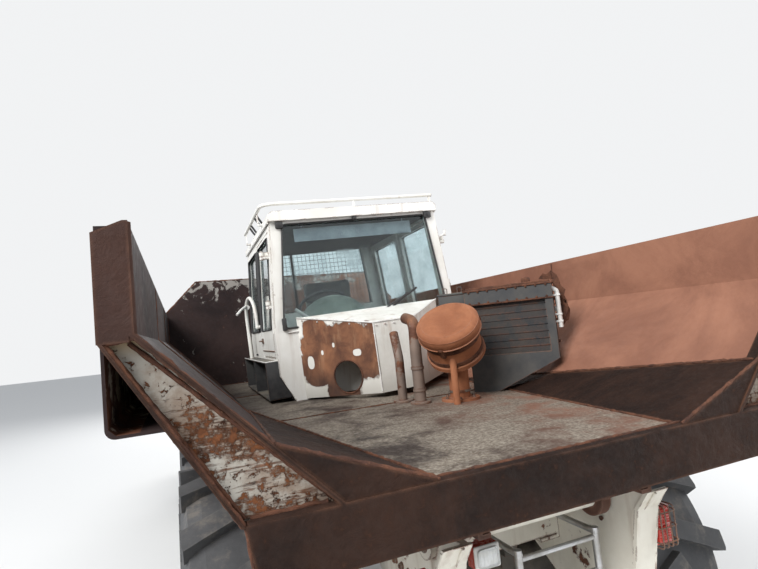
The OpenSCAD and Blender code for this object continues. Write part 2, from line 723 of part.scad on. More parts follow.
// Rear frame: rails, cross members, hangers and the swivel tube at the front
frame_x1 = frame_w / 2;
frame_x0 = frame_x1 - rail_t;
frame_low_z = frame_z - rail_h;
frame_tail_y = tail_y + 600;
frame_front_y = tail_y + 4350;
swivel_y0 = tail_y + 4100;
swivel_y1 = steer_y - 510;
pad_h = sill_z - frame_z - seat_gap;
hanger_t = 30;
rail_web = 16;
module rear_frame() {
  color(cream) difference() {
    union() {
      both_sides() {
        // channel rail, open towards the middle
        along_y(frame_tail_y, frame_front_y - frame_tail_y) polygon([[frame_x0, frame_low_z],
          [frame_x1, frame_low_z], [frame_x1, frame_z], [frame_x0, frame_z], [frame_x0, frame_z - rail_web],
          [frame_x1 - rail_web, frame_z - rail_web], [frame_x1 - rail_web, frame_low_z + rail_web],
          [frame_x0, frame_low_z + rail_web]]);
        // rubber pads under the sills
        for (y = [900, 2300, 3300, 4150])
          box([sill_x0 + 5, tail_y + y, frame_z - 1], [sill_x1 - 5, tail_y + y + 120, frame_z + pad_h]);
        // hanger plates of the hoist shaft and the bogie shaft
        for (h = [[hoist_low_y, hoist_low_z, 80], [bogie_y, bogie_z, 100]])
          along_x(frame_x0 + 20, hanger_t) union() {
            translate([h[0], h[1]]) circle(r = h[2]);
            polygon([[h[0] - h[2], h[1]], [h[0] + h[2], h[1]], [h[0] + h[2] + 60, frame_low_z + 1],
              [h[0] - h[2] - 60, frame_low_z + 1]]);
          }
        // side plates that drop to the swivel tube
        along_x(frame_x0, hanger_t) polygon([[frame_front_y - 600, frame_low_z + 1],
          [frame_front_y - 420, swivel_z - 170], [frame_front_y - 60, swivel_z - 170],
          [frame_front_y, swivel_z + 200], [frame_front_y, frame_z - rail_web - 1],
          [frame_front_y - 600, frame_z - rail_web - 1]]);
        bar_x(frame_x0 + 20, hoist_x - eye_half - ear_gap, hoist_low_y, hoist_low_z, 55);
        bar_x(hoist_x - eye_half - ear_gap - 1, hoist_x + eye_half + ear_gap + 1, hoist_low_y, hoist_low_z, 40);
        bar_x(hoist_x + eye_half + ear_gap, hoist_x + eye_half + ear_gap + 12, hoist_low_y, hoist_low_z, 55);
      }
      // cross members
      for (y = [frame_tail_y, tail_y + 1900, tail_y + 2700])
        box([-frame_x1 + rail_web - 1, y, frame_low_z + 20], [frame_x1 - rail_web + 1, y + 60, frame_z - 40]);
      bar_x(-frame_x0 - 21, frame_x0 + 21, hoist_low_y, hoist_low_z, 55);
      bar_x(-bogie_x0 + seat_gap, bogie_x0 - seat_gap, bogie_y, bogie_z, 70);
      bar_x(-bogie_x1 - 18, bogie_x1 + 18, bogie_y, bogie_z, bogie_pin_r);
      // diaphragms round the swivel tube
      for (y = [frame_front_y - 400, frame_front_y - 90])
        box([-frame_x0 - 1, y, swivel_z - 160], [frame_x0 + 1, y + 30, frame_z - 40]);
      bar_y(0, swivel_y0 - 80, swivel_y1, swivel_z, swivel_r);
    }
    bar_y(0, swivel_y0 - 60, swivel_y1 + 1, swivel_z, swivel_shaft_r + run_fit);
    bar_y(0, frame_front_y - 401, frame_front_y - 369, swivel_z, 110);
  }
}

// Cream plates at the tail that carry the body's hinge pin, each with a flange down its rear edge
bracket_x = frame_x1;
bracket_t = 25;
tail_flange = 100;
tail_edge = [[85, 1500], [140, 1425], [190, 1180], [230, 960]];
tail_flange_t = 16;
tail_bar_y = tail_y + 420;
tail_bar_z = 1020;
tail_bar_r = 45;
module tail_brackets() {
  edge = [for (p = tail_edge) [tail_y + p[0], p[1]]];
  back = [for (i = [3 : -1 : 0]) [edge[i][0] + tail_flange_t * 1.05, edge[i][1]]];
  color(cream) union() {
    both_sides() {
      along_x(bracket_x, bracket_t) polygon(concat(edge, [[tail_y + 560, 960], [tail_y + 900, frame_low_z],
        [tail_y + 900, frame_z]]));
      along_x(sill_x1 + swing_gap + 1, tail_flange) polygon(concat(edge, back));
    }
    bar_x(-bracket_x - bracket_t - 20, bracket_x + bracket_t + 20, hinge_y, hinge_z, hinge_r);
    both_sides() bar_x(bracket_x + bracket_t - 1, bracket_x + bracket_t + 24, hinge_y, hinge_z, hinge_r + 22);
    bar_x(-bracket_x - 1, bracket_x + 1, tail_bar_y, tail_bar_z, tail_bar_r);
  }
}

// Walking beams between the two rear axles
bogie_rise = 185;
bogie_z = tyre_r + bogie_rise;
bogie_pin_r = 50;
bogie_x0 = frame_x1 + 25;
bogie_x1 = frame_x1 + 105;
axle_r = 90;
beam_end_z = tyre_r + axle_r + 15;
module bogie_beams() {
  color(dark) both_sides() difference() {
    along_x(bogie_x0, bogie_x1 - bogie_x0) union() {
      polygon([[rear_axle_y - 130, beam_end_z], [mid_axle_y + 130, beam_end_z],
        [mid_axle_y + 130, beam_end_z + 70], [bogie_y + 160, bogie_z + 100], [bogie_y - 160, bogie_z + 100],
        [rear_axle_y - 130, beam_end_z + 70]]);
      translate([bogie_y, bogie_z]) circle(r = 110);
    }
    bar_x(bogie_x0 - 1, bogie_x1 + 1, bogie_y, bogie_z, bogie_pin_r + run_fit);
  }
}

// An axle: tube, gear housing, pads and spindles
diff_r = 225;
module axle(y, pad_top) {
  z = tyre_r;
  bar_x(-hub_face + 1, hub_face - 1, y, z, axle_r);
  both_sides() {
    bar_x(hub_face - 60, hub_face, y, z, 150);
    bar_x(hub_face - 1, hub_face + spindle_len, y, z, spindle_r);
    box([bogie_x0, y - 90, z], [bogie_x1, y + 90, pad_top]);
    translate([100, y, z]) rotate([0, 90, 0]) cylinder(h = 220, r1 = 190, r2 = axle_r);
  }
  bar_x(-101, 101, y, z, diff_r);
}
hub_face = tyre_in_x + 150;
spindle_len = 90;

module rear_axles() {
  color(dark) {
    union() {
      axle(rear_axle_y, beam_end_z - seat_gap);
      bar_y(0, rear_axle_y + 200, rear_axle_y + 330, tyre_r + 40, 90);
    }
    union() {
      axle(mid_axle_y, beam_end_z - seat_gap);
      bar_y(0, mid_axle_y - 330, mid_axle_y + 330, tyre_r + 40, 90);
    }
  }
}

// Drive shafts between the axles and to the front
module drive_shafts() {
  y0 = mid_axle_y + 330 + seat_gap;
  y1 = swivel_y0 - 80 - seat_gap;
  rise = swivel_z - tyre_r - 40;
  color(dark) {
    bar_y(0, rear_axle_y + 330 + seat_gap, mid_axle_y - 330 - seat_gap, tyre_r + 40, 45);
    union() {
      bar_y(0, y0, y0 + 70, tyre_r + 40, 70);
      translate([0, y0 + 35, tyre_r + 40]) rotate([-90 + atan(rise / (y1 - y0 - 70)), 0, 0])
        cylinder(h = (y1 - y0 - 70) / cos(atan(rise / (y1 - y0 - 70))), r = 45);
      bar_y(0, y1 - 70, y1, swivel_z, 70);
    }
  }
}

// Tail lamps: a clear one inside the left plate and guarded red ones outside both plates
lamp_x0 = sill_x1 + swing_gap + 1 + tail_flange + seat_gap;
lamp_w = 80;
module tail_lamps() {
  color("firebrick") {
    both_sides() union() {
      box([lamp_x0, tail_y + 170, 1270], [lamp_x0 + lamp_w, tail_y + 235, 1400]);
      box([bracket_x + bracket_t, tail_y + 205, 1300], [lamp_x0 + 5, tail_y + 235, 1370]);
    }
    // the clear lamp stands on a strip that is clamped to the cross bar
    union() {
      box([-sill_x0 + 7, tail_y + 190, 1365], [-sill_x0 + 97, tail_y + 236, 1435]);
      box([-sill_x0 + 40, tail_y + 235, tail_bar_z - 15], [-sill_x0 + 70, tail_y + 245, 1436]);
      box([-sill_x0 + 40, tail_y + 244, tail_bar_z - 5],
        [-sill_x0 + 70, tail_bar_y - tail_bar_r - seat_gap, tail_bar_z + 5]);
    }
  }
}

// Bent tube ladder hung between the tail plates
module tail_ladder() {
  r = 14;
  color("silver") union() {
    for (x = [-60, 290]) {
      translate([x, tail_y + 300, 850]) cylinder(h = 484, r = r);
      bar_y(x, tail_y + 290, frame_tail_y - seat_gap, 1318, r - 2);
    }
    for (z = [880, 1030, 1180, 1300])
      bar_x(-60, 290, tail_y + 300, z, r - 4);
  }
}

// Tyre: carcass turned about its axle, with two rows of slanted lugs
module tyre_body() {
  w = tyre_w / 2;
  r0 = rim_d / 2;
  crown = tyre_r - lug_h;
  rotate([0, 90, 0]) rotate_extrude() polygon([[r0, -w + 60], [r0 + 60, -w + 18], [r0 + 190, -w],
    [crown - 90, -w + 6], [crown - 12, -w + 34], [crown, -w + 90], [crown, w - 90], [crown - 12, w - 34],
    [crown - 90, w - 6], [r0 + 190, w], [r0 + 60, w - 18], [r0, w - 60]]);
}
module tyre_lugs() {
  pitch = 360 / lug_count;
  lug_len = tyre_w / 2 + 30;
  intersection() {
    rotate([0, 90, 0]) difference() {
      cylinder(h = tyre_w - 16, r = tyre_r, center = true);
      cylinder(h = tyre_w, r = tyre_r - lug_h - 30, center = true);
    }
    union() for (i = [0 : lug_count - 1]) for (s = [-1, 1])
      rotate([i * pitch + (s + 1) * pitch / 4, 0, 0]) translate([s * tyre_w / 4, 0, -tyre_r])
        rotate([0, 0, s * lug_slant]) cube([lug_len, lug_w, 2 * lug_h + 70], center = true);
  }
}
module tyre(side, y) {
  color("black") translate([side * wheel_x, y, tyre_r]) on_side(side) union() {
    tyre_body();
    tyre_lugs();
  }
}

// Rim: flanges, dished disc and the closed hub that turns on the spindle
module rim(side, y) {
  r0 = rim_d / 2 - seat_gap;
  w = tyre_w / 2 - 40;
  hub_in = hub_face - wheel_x + 6;
  hub_out = hub_in + spindle_len + 30;
  color(cream) translate([side * wheel_x, y, tyre_r]) on_side(side) difference() {
    rotate([0, 90, 0]) union() {
      rotate_extrude() polygon([[r0 - 26, -w], [r0, -w], [r0, w], [r0 - 26, w]]);
      translate([0, 0, hub_in + 20]) cylinder(h = 24, r = r0 - 1);
      translate([0, 0, hub_in]) cylinder(h = hub_out - hub_in, r = 165);
      translate([0, 0, hub_out - 1]) cylinder(h = 40, r1 = 120, r2 = 95);
    }
    bar_x(hub_in - 1, hub_face - wheel_x + spindle_len + 6, 0, 0, spindle_r + run_fit);
  }
}

// Hoist cylinders: barrel on the frame's shaft, rod up to the body's ears
hoist_dy = hoist_top_y - hoist_low_y;
hoist_dz = hoist_top_z - hoist_low_z;
hoist_len = sqrt(hoist_dy * hoist_dy + hoist_dz * hoist_dz);
hoist_tilt = atan2(-hoist_dy, hoist_dz);
hoist_barrel_len = hoist_len - 120;
hoist_neck_r = 36;
hoist_tube_z = 76;
module at_hoist(side) {
  translate([side * hoist_x, hoist_low_y, hoist_low_z]) rotate([hoist_tilt, 0, 0]) children();
}
module hoist_barrel(side) {
  color("goldenrod") at_hoist(side) difference() {
    union() {
      translate([-eye_half, 0, 0]) rotate([0, 90, 0]) cylinder(h = 2 * eye_half, r = 66);
      translate([0, 0, 40]) cylinder(h = 40, r = hoist_neck_r);
      translate([0, 0, hoist_tube_z]) cylinder(h = hoist_barrel_len - hoist_tube_z, r = hoist_r);
      translate([0, 0, hoist_barrel_len - 50]) cylinder(h = 50, r = hoist_r + 6);
    }
    translate([-eye_half - 1, 0, 0]) rotate([0, 90, 0]) cylinder(h = 2 * eye_half + 2, r = 40 + run_fit);
    translate([0, 0, hoist_tube_z + 14]) cylinder(h = hoist_barrel_len, r = hoist_rod_r + run_fit);
  }
}
module hoist_rod(side) {
  color("silver") at_hoist(side) union() {
    translate([0, 0, 100]) cylinder(h = hoist_len - 100, r = hoist_rod_r);
    translate([-eye_half, 0, hoist_len]) rotate([0, 90, 0]) cylinder(h = 2 * eye_half, r = 52);
  }
}

// Steering cylinders: barrel on the hitch's arms, rod to the front frame's fork
steer_low_y = steer_y - steer_arm;
steer_len = 2 * steer_arm;
steer_eye_r = 42;
steer_pin_r = 25;
steer_barrel_len = 560;
steer_rod_in = 300;
steer_neck_r = 25;
steer_tube_y = 72;
module steer_barrel(side) {
  color("goldenrod") translate([side * steer_x, steer_low_y, swivel_z]) difference() {
    union() {
      translate([0, 0, -28]) cylinder(h = 56, r = steer_eye_r);
      bar_y(0, 30, steer_tube_y + 2, 0, steer_neck_r);
      bar_y(0, steer_tube_y, steer_barrel_len, 0, steer_r);
    }
    translate([0, 0, -29]) cylinder(h = 58, r = steer_pin_r + run_fit);
    bar_y(0, steer_tube_y + 2, steer_barrel_len + 1, 0, steer_rod_r + run_fit);
  }
}
module steer_rod(side) {
  color("silver") translate([side * steer_x, steer_low_y, swivel_z]) union() {
    bar_y(0, steer_rod_in, steer_len, 0, steer_rod_r);
    translate([0, steer_len, -24]) cylinder(h = 48, r = 40);
  }
}

// Hitch: swivel shaft, flange, neck, head round the steering pin, and arms for the steering cylinders
head_h = 320;
head_slot = 110;
module hitch() {
  arm_y0 = steer_low_y - 43;
  arm_y1 = steer_low_y + 45;
  color(cream) difference() {
    union() {
      bar_y(0, swivel_y0 - 40, swivel_y1 + 40, swivel_z, swivel_shaft_r);
      bar_y(0, swivel_y1 + 5, swivel_y1 + 50, swivel_z, 195);
      box([-120, swivel_y1 + 49, swivel_z - head_h / 2 + 20], [120, steer_y - 90, swivel_z + head_h / 2 - 20]);
      for (z = [-head_h / 2, head_slot / 2])
        translate([0, steer_y, swivel_z + z]) cylinder(h = (head_h - head_slot) / 2, r = 150);
      translate([0, steer_y, swivel_z - head_slot / 2 - 1]) cylinder(h = head_slot + 2, r = 80);
      box([-70, steer_y - 91, swivel_z - head_slot / 2 - 1], [70, steer_y - 20, swivel_z + head_slot / 2 + 1]);
      for (z = [-50, 30])
        translate([0, 0, swivel_z + z]) linear_extrude(20) union() {
          polygon([[-steer_x, arm_y0], [steer_x, arm_y0], [steer_x, arm_y1], [-steer_x, arm_y1]]);
          for (s = [-1, 1]) translate([s * steer_x, steer_low_y]) circle(r = 44);
        }
      for (s = [-1, 1]) translate([s * steer_x, steer_low_y, swivel_z - 60]) cylinder(h = 120, r = steer_pin_r);
    }
    translate([0, steer_y, swivel_z - head_h / 2 - 1]) cylinder(h = head_h + 2, r = king_r + run_fit);
  }
}

// Front frame: gooseneck rails, yoke plates round the hitch head, fork for the rods, bumper and deck posts
ff_x1 = front_frame_w / 2;
ff_x0 = ff_x1 - 90;
yoke_gap = 6;
yoke_t = 40;
ff_low_z = beam_end_z;
ff_rear_y = steer_y + 345;
yoke_r = 150;
deck_y0 = steer_y + 180;
deck_y1 = deck_y0 + 1300;
rail_end_y = front_y - 155;
module yoke_plan() {
  polygon([[-ff_x1, ff_rear_y], [-yoke_r, steer_y - 10], [yoke_r, steer_y - 10], [ff_x1, ff_rear_y],
    [ff_x1, steer_y + 600], [-ff_x1, steer_y + 600]]);
  translate([0, steer_y]) circle(r = yoke_r);
}
module front_frame() {
  up_z = swivel_z + head_h / 2 + yoke_gap;
  low_z = swivel_z - head_h / 2 - yoke_gap - yoke_t;
  color(cream) union() {
    both_sides() {
      along_x(ff_x0, ff_x1 - ff_x0) polygon([[ff_rear_y, low_z], [steer_y + 640, low_z], [steer_y + 900, ff_low_z],
        [rail_end_y, ff_low_z], [rail_end_y, front_frame_z], [ff_rear_y, front_frame_z]]);
      // deck posts
      for (y = [deck_y0 + 100, deck_y1 - 160])
        box([ff_x0 + 5, y, front_frame_z - 1], [ff_x1 - 5, y + 80, deck_z - 80 - seat_gap]);
      // ledge under the bonnet
      box([ff_x1 - 20, bonnet_y0 + 40, front_frame_z - 1], [bonnet_w / 2 + 12, rail_end_y, bonnet_low_z - seat_gap]);
      // stays of the fenders and tanks
      for (y = [front_axle_y - 560, front_axle_y + 500])
        box([ff_x1 - 1, y, front_frame_z - 80], [fender_x0 - seat_gap, y + 60, front_frame_z - 20]);
      box([ff_x1 - 1, tank_y0 + 100, tank_stay_z], [tank_x0 - seat_gap, tank_y1 - 100, tank_stay_z + 140]);
    }
    translate([0, 0, up_z]) linear_extrude(yoke_t) yoke_plan();
    translate([0, 0, low_z]) linear_extrude(yoke_t) yoke_plan();
    translate([0, steer_y, low_z - 20]) cylinder(h = up_z - low_z + yoke_t + 40, r = king_r);
    box([-ff_x0 - 1, steer_y + 540, low_z], [ff_x0 + 1, steer_y + 600, up_z + 1]);
    // fork plates of the steering rods
    both_sides() for (z = [-62, 44])
      translate([0, 0, swivel_z + z]) linear_extrude(18) union() {
        translate([steer_x, steer_y + steer_arm]) circle(r = 46);
        translate([steer_x - 46, steer_y + steer_arm]) square([92, 125]);
      }
    both_sides() for (z = [-74, 61])
      translate([steer_x, steer_y + steer_arm, swivel_z + z]) cylinder(h = 13, r = 24);
    // engine cross members and bumper
    for (y = [engine_y0 + 150, engine_y1 - 250])
      box([-ff_x0 - 1, y, ff_low_z + 10], [ff_x0 + 1, y + 80, engine_z0 - seat_gap]);
    translate([0, 0, bumper_z]) linear_extrude(bumper_h) polygon([[-1000, front_y - 160], [-1000, front_y - 90],
      [-900, front_y], [900, front_y], [1000, front_y - 90], [1000, front_y - 160]]);
    tow_clevis();
    // lugs and pins of the bonnet's hinge
    both_sides() {
      along_x(bonnet_lug_x, bonnet_lug_t) union() {
        translate([bonnet_hinge_y, bonnet_hinge_z]) circle(r = bonnet_knuckle_r);
        translate([bonnet_hinge_y - 18, bumper_z + bumper_h - 1]) square([36, bonnet_hinge_z - bumper_z - bumper_h + 1]);
      }
      bar_x(bonnet_lug_x + 1, knuckle_x1 + 10, bonnet_hinge_y, bonnet_hinge_z, bonnet_pin_r);
      bar_x(knuckle_x1 + swing_gap, knuckle_x1 + swing_gap + 8, bonnet_hinge_y, bonnet_hinge_z, bonnet_pin_r + 5);
    }
  }
}

// Two towing ears under the bumper with a pin bore through both
tow_r = 25;
tow_ear_t = 30;
tow_gap = 70;
tow_z = 720;
tow_y = front_y - 80;
bumper_z = 780;
bumper_h = 300;
module tow_clevis() {
  both_sides() along_x(tow_gap / 2, tow_ear_t) difference() {
    union() {
      translate([tow_y, tow_z]) circle(r = 55);
      translate([tow_y - 55, tow_z]) square([110, bumper_z - tow_z + 1]);
    }
    translate([tow_y, tow_z]) circle(r = tow_r);
  }
}
fender_x0 = deck_w / 2 + seat_gap;

module front_axle() {
  color(dark) union() {
    axle(front_axle_y, ff_low_z - seat_gap);
    bar_y(0, front_axle_y - 330, front_axle_y, tyre_r + 40, 90);
  }
}

// Engine and gearbox, plain blocks, with the fan in front
engine_y0 = front_axle_y + 350;
engine_clear = 20;
engine_z0 = tyre_r + diff_r + engine_clear;
module engine() {
  color("gray") {
    union() {
      along_y(engine_y0, engine_y1 - engine_y0) polygon([[-200, engine_z0], [200, engine_z0], [330, engine_z0 + 200],
        [330, engine_z0 + 560], [220, engine_z0 + 720], [-220, engine_z0 + 720], [-330, engine_z0 + 560],
        [-330, engine_z0 + 200]]);
      bar_y(0, engine_y1 - 1, engine_y1 + 160, engine_z0 + 360, 60);
      bar_y(0, engine_y1 + 100, engine_y1 + 150, engine_z0 + 360, 270);
      box([-250, engine_y0 - 700, engine_z0 + 60], [250, engine_y0 + 1, engine_z0 + 380]);
    }
  }
}

// Bonnet: sloping shell, open below and behind, with the grille opening in front
bonnet_y0 = front_axle_y + 200;
bonnet_y1 = front_y - 100;
engine_y1 = bonnet_y1 - 600;
bonnet_low_z = 1180;
bonnet_nose_z = 1790;
grille_w = 760;
grille_z0 = 1250;
grille_z1 = 1680;
louvre_z0 = bonnet_low_z + 150;
louvre_z1 = bonnet_low_z + 380;
bonnet_hinge_y = bonnet_y1 - 30;
bonnet_hinge_z = bonnet_low_z + 20;
bonnet_pin_r = 12;
bonnet_knuckle_r = 22;
bonnet_lug_x = grille_w / 2 + 20;
bonnet_lug_t = 30;
knuckle_x0 = bonnet_lug_x + bonnet_lug_t + swing_gap;
knuckle_x1 = knuckle_x0 + 36;
louvre_y0 = bonnet_y0 + 900;
louvre_pitch = (bonnet_y1 - 650 - louvre_y0) / 5;
module bonnet_side(t) {
  polygon([[bonnet_y0 - (t > 0 ? 1 : 0), bonnet_low_z - t], [bonnet_y1 - t, bonnet_low_z - t],
    [bonnet_y1 - t, bonnet_nose_z - 120 - t / 2], [bonnet_y1 - 130 - t / 2, bonnet_nose_z - t],
    [bonnet_y0 + 700, bonnet_z - t], [bonnet_y0 - (t > 0 ? 1 : 0), bonnet_z - t]]);
}
module bonnet_front(t) {
  half = [[bonnet_w / 2 - t, bonnet_low_z - t], [bonnet_w / 2 - t, bonnet_nose_z - 100], [bonnet_w / 2 - 110 - t / 2,
    bonnet_z + 1 - t]];
  polygon(concat(half, mirrored(half)));
}
module bonnet() {
  color(cream) difference() {
    union() {
      difference() {
        intersection() {
          along_x(-bonnet_w / 2, bonnet_w) bonnet_side(0);
          along_y(bonnet_y0, bonnet_y1 - bonnet_y0) bonnet_front(0);
        }
        intersection() {
          along_x(-bonnet_w / 2, bonnet_w) bonnet_side(bonnet_t);
          along_y(bonnet_y0 - 1, bonnet_y1 - bonnet_y0) bonnet_front(bonnet_t);
        }
      }
      // hinge knuckles on the inside of the front
      both_sides() {
        bar_x(knuckle_x0, knuckle_x1, bonnet_hinge_y, bonnet_hinge_z, bonnet_knuckle_r);
        box([knuckle_x0 + 1, bonnet_hinge_y, bonnet_hinge_z - 13], [knuckle_x1 - 1, bonnet_y1 - 5, bonnet_hinge_z + 13]);
      }
    }
    both_sides() bar_x(knuckle_x0 - 1, knuckle_x1 + 1, bonnet_hinge_y, bonnet_hinge_z, bonnet_pin_r + run_fit);
    box([-grille_w / 2, bonnet_y1 - 100, grille_z0], [grille_w / 2, bonnet_y1 + 1, grille_z1]);
    // notches round the hinge lugs, and the side louvres
    both_sides() {
      box([bonnet_lug_x - swing_gap, bonnet_y1 - bonnet_t - 1, bonnet_low_z - 1],
        [bonnet_lug_x + bonnet_lug_t + swing_gap - 1, bonnet_y1 + 1, bonnet_hinge_z + 44]);
      for (i = [0 : 5])
        box([bonnet_w / 2 - 30, louvre_y0 + i * louvre_pitch, louvre_z0],
          [bonnet_w / 2 + 1, louvre_y0 + 40 + i * louvre_pitch, louvre_z1]);
    }
  }
}
module grille() {
  color(dark) union() {
    difference() {
      box([-grille_w / 2 + seat_gap, bonnet_y1 - 24, grille_z0 + seat_gap],
        [grille_w / 2 - seat_gap, bonnet_y1 - 2, grille_z1 - seat_gap]);
      box([-grille_w / 2 + 24, bonnet_y1 - 25, grille_z0 + 24], [grille_w / 2 - 24, bonnet_y1, grille_z1 - 24]);
    }
    for (i = [0 : 8])
      along_x(-grille_w / 2 + 20, grille_w - 40) translate([bonnet_y1 - 20, grille_z0 + 40 + i * 41])
        rotate(-30) square([6, 22]);
    for (x = [-130, 130]) box([x - 5, bonnet_y1 - 20, grille_z0 + 20], [x + 5, bonnet_y1 - 8, grille_z1 - 20]);
  }
}

// Fenders: arched sheet over each front tyre with an inner side plate
fender_x1 = wheel_x + tyre_w / 2 + 15;
module fenders() {
  ang = 24;
  fender_reach = 1.4 * fender_r;
  color(cream) both_sides() union() {
    along_x(fender_x0, fender_x1 - fender_x0) intersection() {
      difference() {
        translate([front_axle_y, tyre_r]) circle(r = fender_r + 12, $fn = 180);
        translate([front_axle_y, tyre_r]) circle(r = fender_r, $fn = 180);
      }
      polygon([[front_axle_y, tyre_r], [front_axle_y - fender_reach, tyre_r + fender_reach * tan(ang)],
        [front_axle_y - fender_reach, tyre_r + fender_reach], [front_axle_y + fender_reach, tyre_r + fender_reach],
        [front_axle_y + fender_reach, tyre_r + fender_reach * tan(ang)]]);
    }
    along_x(fender_x0, 12) intersection() {
      translate([front_axle_y, tyre_r]) circle(r = fender_r + 1, $fn = 180);
      translate([front_axle_y - fender_r, front_frame_z - 90]) square([2 * fender_r, fender_r]);
    }
  }
}

// Cab deck: tread plate on beams, with the four mounts that held the cab
mount_x = 500;
mount_y0 = deck_y0 + 120;
mount_y1 = deck_y1 - 130;
mount_h = 45;
deck_t = 12;
module cab_deck() {
  color(dark) difference() {
    union() {
      box([-deck_w / 2, deck_y0, deck_z - deck_t], [deck_w / 2, deck_y1, deck_z]);
      both_sides() along_y(deck_y0, deck_y1 - deck_y0) polygon([[deck_w / 2 - 260, deck_z - 80],
        [deck_w / 2 - 110, deck_z - 80], [deck_w / 2 - 110, deck_z - deck_t + 1], [deck_w / 2 - 260, deck_z - deck_t + 1]]);
      for (y = [deck_y0, deck_y1 - 60])
        box([-deck_w / 2, y, deck_z - 79], [deck_w / 2, y + 60, deck_z - deck_t + 1]);
      for (x = [-mount_x, mount_x]) for (y = [mount_y0, mount_y1])
        translate([x, y, deck_z - 1]) cylinder(h = mount_h + 1, r = 55);
    }
    for (x = [-mount_x, mount_x]) for (y = [mount_y0, mount_y1])
      translate([x, y, deck_z - 100]) cylinder(h = mount_h + 101, r = mount_hole_r);
    // opening over the gearbox
    box([-200, deck_y0 + 350, deck_z - 100], [200, deck_y1 - 250, deck_z + 1]);
  }
}

// Fuel tank on the left, hydraulic tank on the right, both with steps on the outside
tank_stay_z = 760;
tank_x0 = 660;
tank_x1 = 1080;
tank_clear = 60;
tank_len = 430;
tank_y1 = front_axle_y - tyre_r - tank_clear;
tank_y0 = tank_y1 - tank_len;
module side_tanks() {
  color(cream) both_sides() union() {
    along_y(tank_y0, tank_y1 - tank_y0) union() {
      translate([tank_x0 + 60, 640]) circle(r = 60);
      translate([tank_x1 - 60, 640]) circle(r = 60);
      polygon([[tank_x0, 640], [tank_x0 + 60, 580], [tank_x1 - 60, 580], [tank_x1, 640], [tank_x1, 1180],
        [tank_x1 - 60, 1240], [tank_x0 + 60, 1240], [tank_x0, 1180]]);
      translate([tank_x0 + 60, 1180]) circle(r = 60);
      translate([tank_x1 - 60, 1180]) circle(r = 60);
    }
    for (z = [560, 860, 1160])
      box([tank_x1 - 1, tank_y0 + 40, z], [tank_x1 + 110, tank_y1 - 40, z + 24]);
    for (y = [tank_y0 + 40, tank_y1 - 56])
      box([tank_x1 + 94, y, 560], [tank_x1 + 110, y + 16, 1184]);
  }
}

// Exhaust: silencer on the right fender, with a stack and an elbow towards the bonnet
exhaust_r = 100;
exhaust_x = tank_x0 + 60;
exhaust_y = front_axle_y + 330;
module exhaust() {
  z0 = fender_top(exhaust_y - exhaust_r - 10) + 60;
  color("dimgray") union() {
    translate([exhaust_x, exhaust_y, z0]) cylinder(h = 560, r = exhaust_r);
    translate([exhaust_x, exhaust_y, z0 + 559]) cylinder(h = 60, r1 = exhaust_r, r2 = 50);
    translate([exhaust_x, exhaust_y, z0 + 600]) cylinder(h = 2720 - z0 - 600, r = 50);
    for (y = [-60, 60])
      translate([exhaust_x - 15, exhaust_y + y - 8, 0]) box([0, 0, fender_top(exhaust_y + y - 8)],
        [30, 16, z0 + 1]);
    bar_x(bonnet_w / 2 + 6, exhaust_x, exhaust_y, z0 + 160, 48);
  }
}
function fender_top(y) = tyre_r + sqrt(pow(fender_r + 12, 2) - pow(y - front_axle_y, 2)) + seat_gap;

// Head lamps on the bumper
module front_lamps() {
  color("white") both_sides() for (x = [560, 770])
    union() {
      box([x, front_y - 130, 1100], [x + 180, front_y - 40, 1230]);
      box([x + 60, front_y - 110, 1080 + seat_gap], [x + 120, front_y - 60, 1101]);
    }
}

dump_shell();
headboard();
tail_frame();
body_sills();
cab_shell();
cab_roof();
cab_nose();
cab_steps();
cab_door(-1);  // cab_door_left
cab_door(1);  // cab_door_right
door_pane(-1);  // door_pane_left
door_pane(1);  // door_pane_right
cab_glass();
cab_seat();
air_cleaner();
radiator();
rear_frame();
tail_brackets();
bogie_beams();
rear_axles();
drive_shafts();
tail_lamps();
tail_ladder();
tyre(-1, rear_axle_y);  // tyre_rear_left
tyre(1, rear_axle_y);  // tyre_rear_right
tyre(-1, mid_axle_y);  // tyre_mid_left
tyre(1, mid_axle_y);  // tyre_mid_right
tyre(-1, front_axle_y);  // tyre_front_left
tyre(1, front_axle_y);  // tyre_front_right
rim(-1, rear_axle_y);  // rim_rear_left
rim(1, rear_axle_y);  // rim_rear_right
rim(-1, mid_axle_y);  // rim_mid_left
rim(1, mid_axle_y);  // rim_mid_right
rim(-1, front_axle_y);  // rim_front_left
rim(1, front_axle_y);  // rim_front_right
hoist_barrel(-1);  // hoist_barrel_left
hoist_barrel(1);  // hoist_barrel_right
hoist_rod(-1);  // hoist_rod_left
hoist_rod(1);  // hoist_rod_right
steer_barrel(-1);  // steer_barrel_left
steer_barrel(1);  // steer_barrel_right
steer_rod(-1);  // steer_rod_left
steer_rod(1);  // steer_rod_right
hitch();
front_frame();
front_axle();
engine();
bonnet();
grille();
fenders();
cab_deck();
side_tanks();
exhaust();
front_lamps();
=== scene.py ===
import math

import bmesh
import bpy
from mathutils import Matrix, Vector, noise as flutter


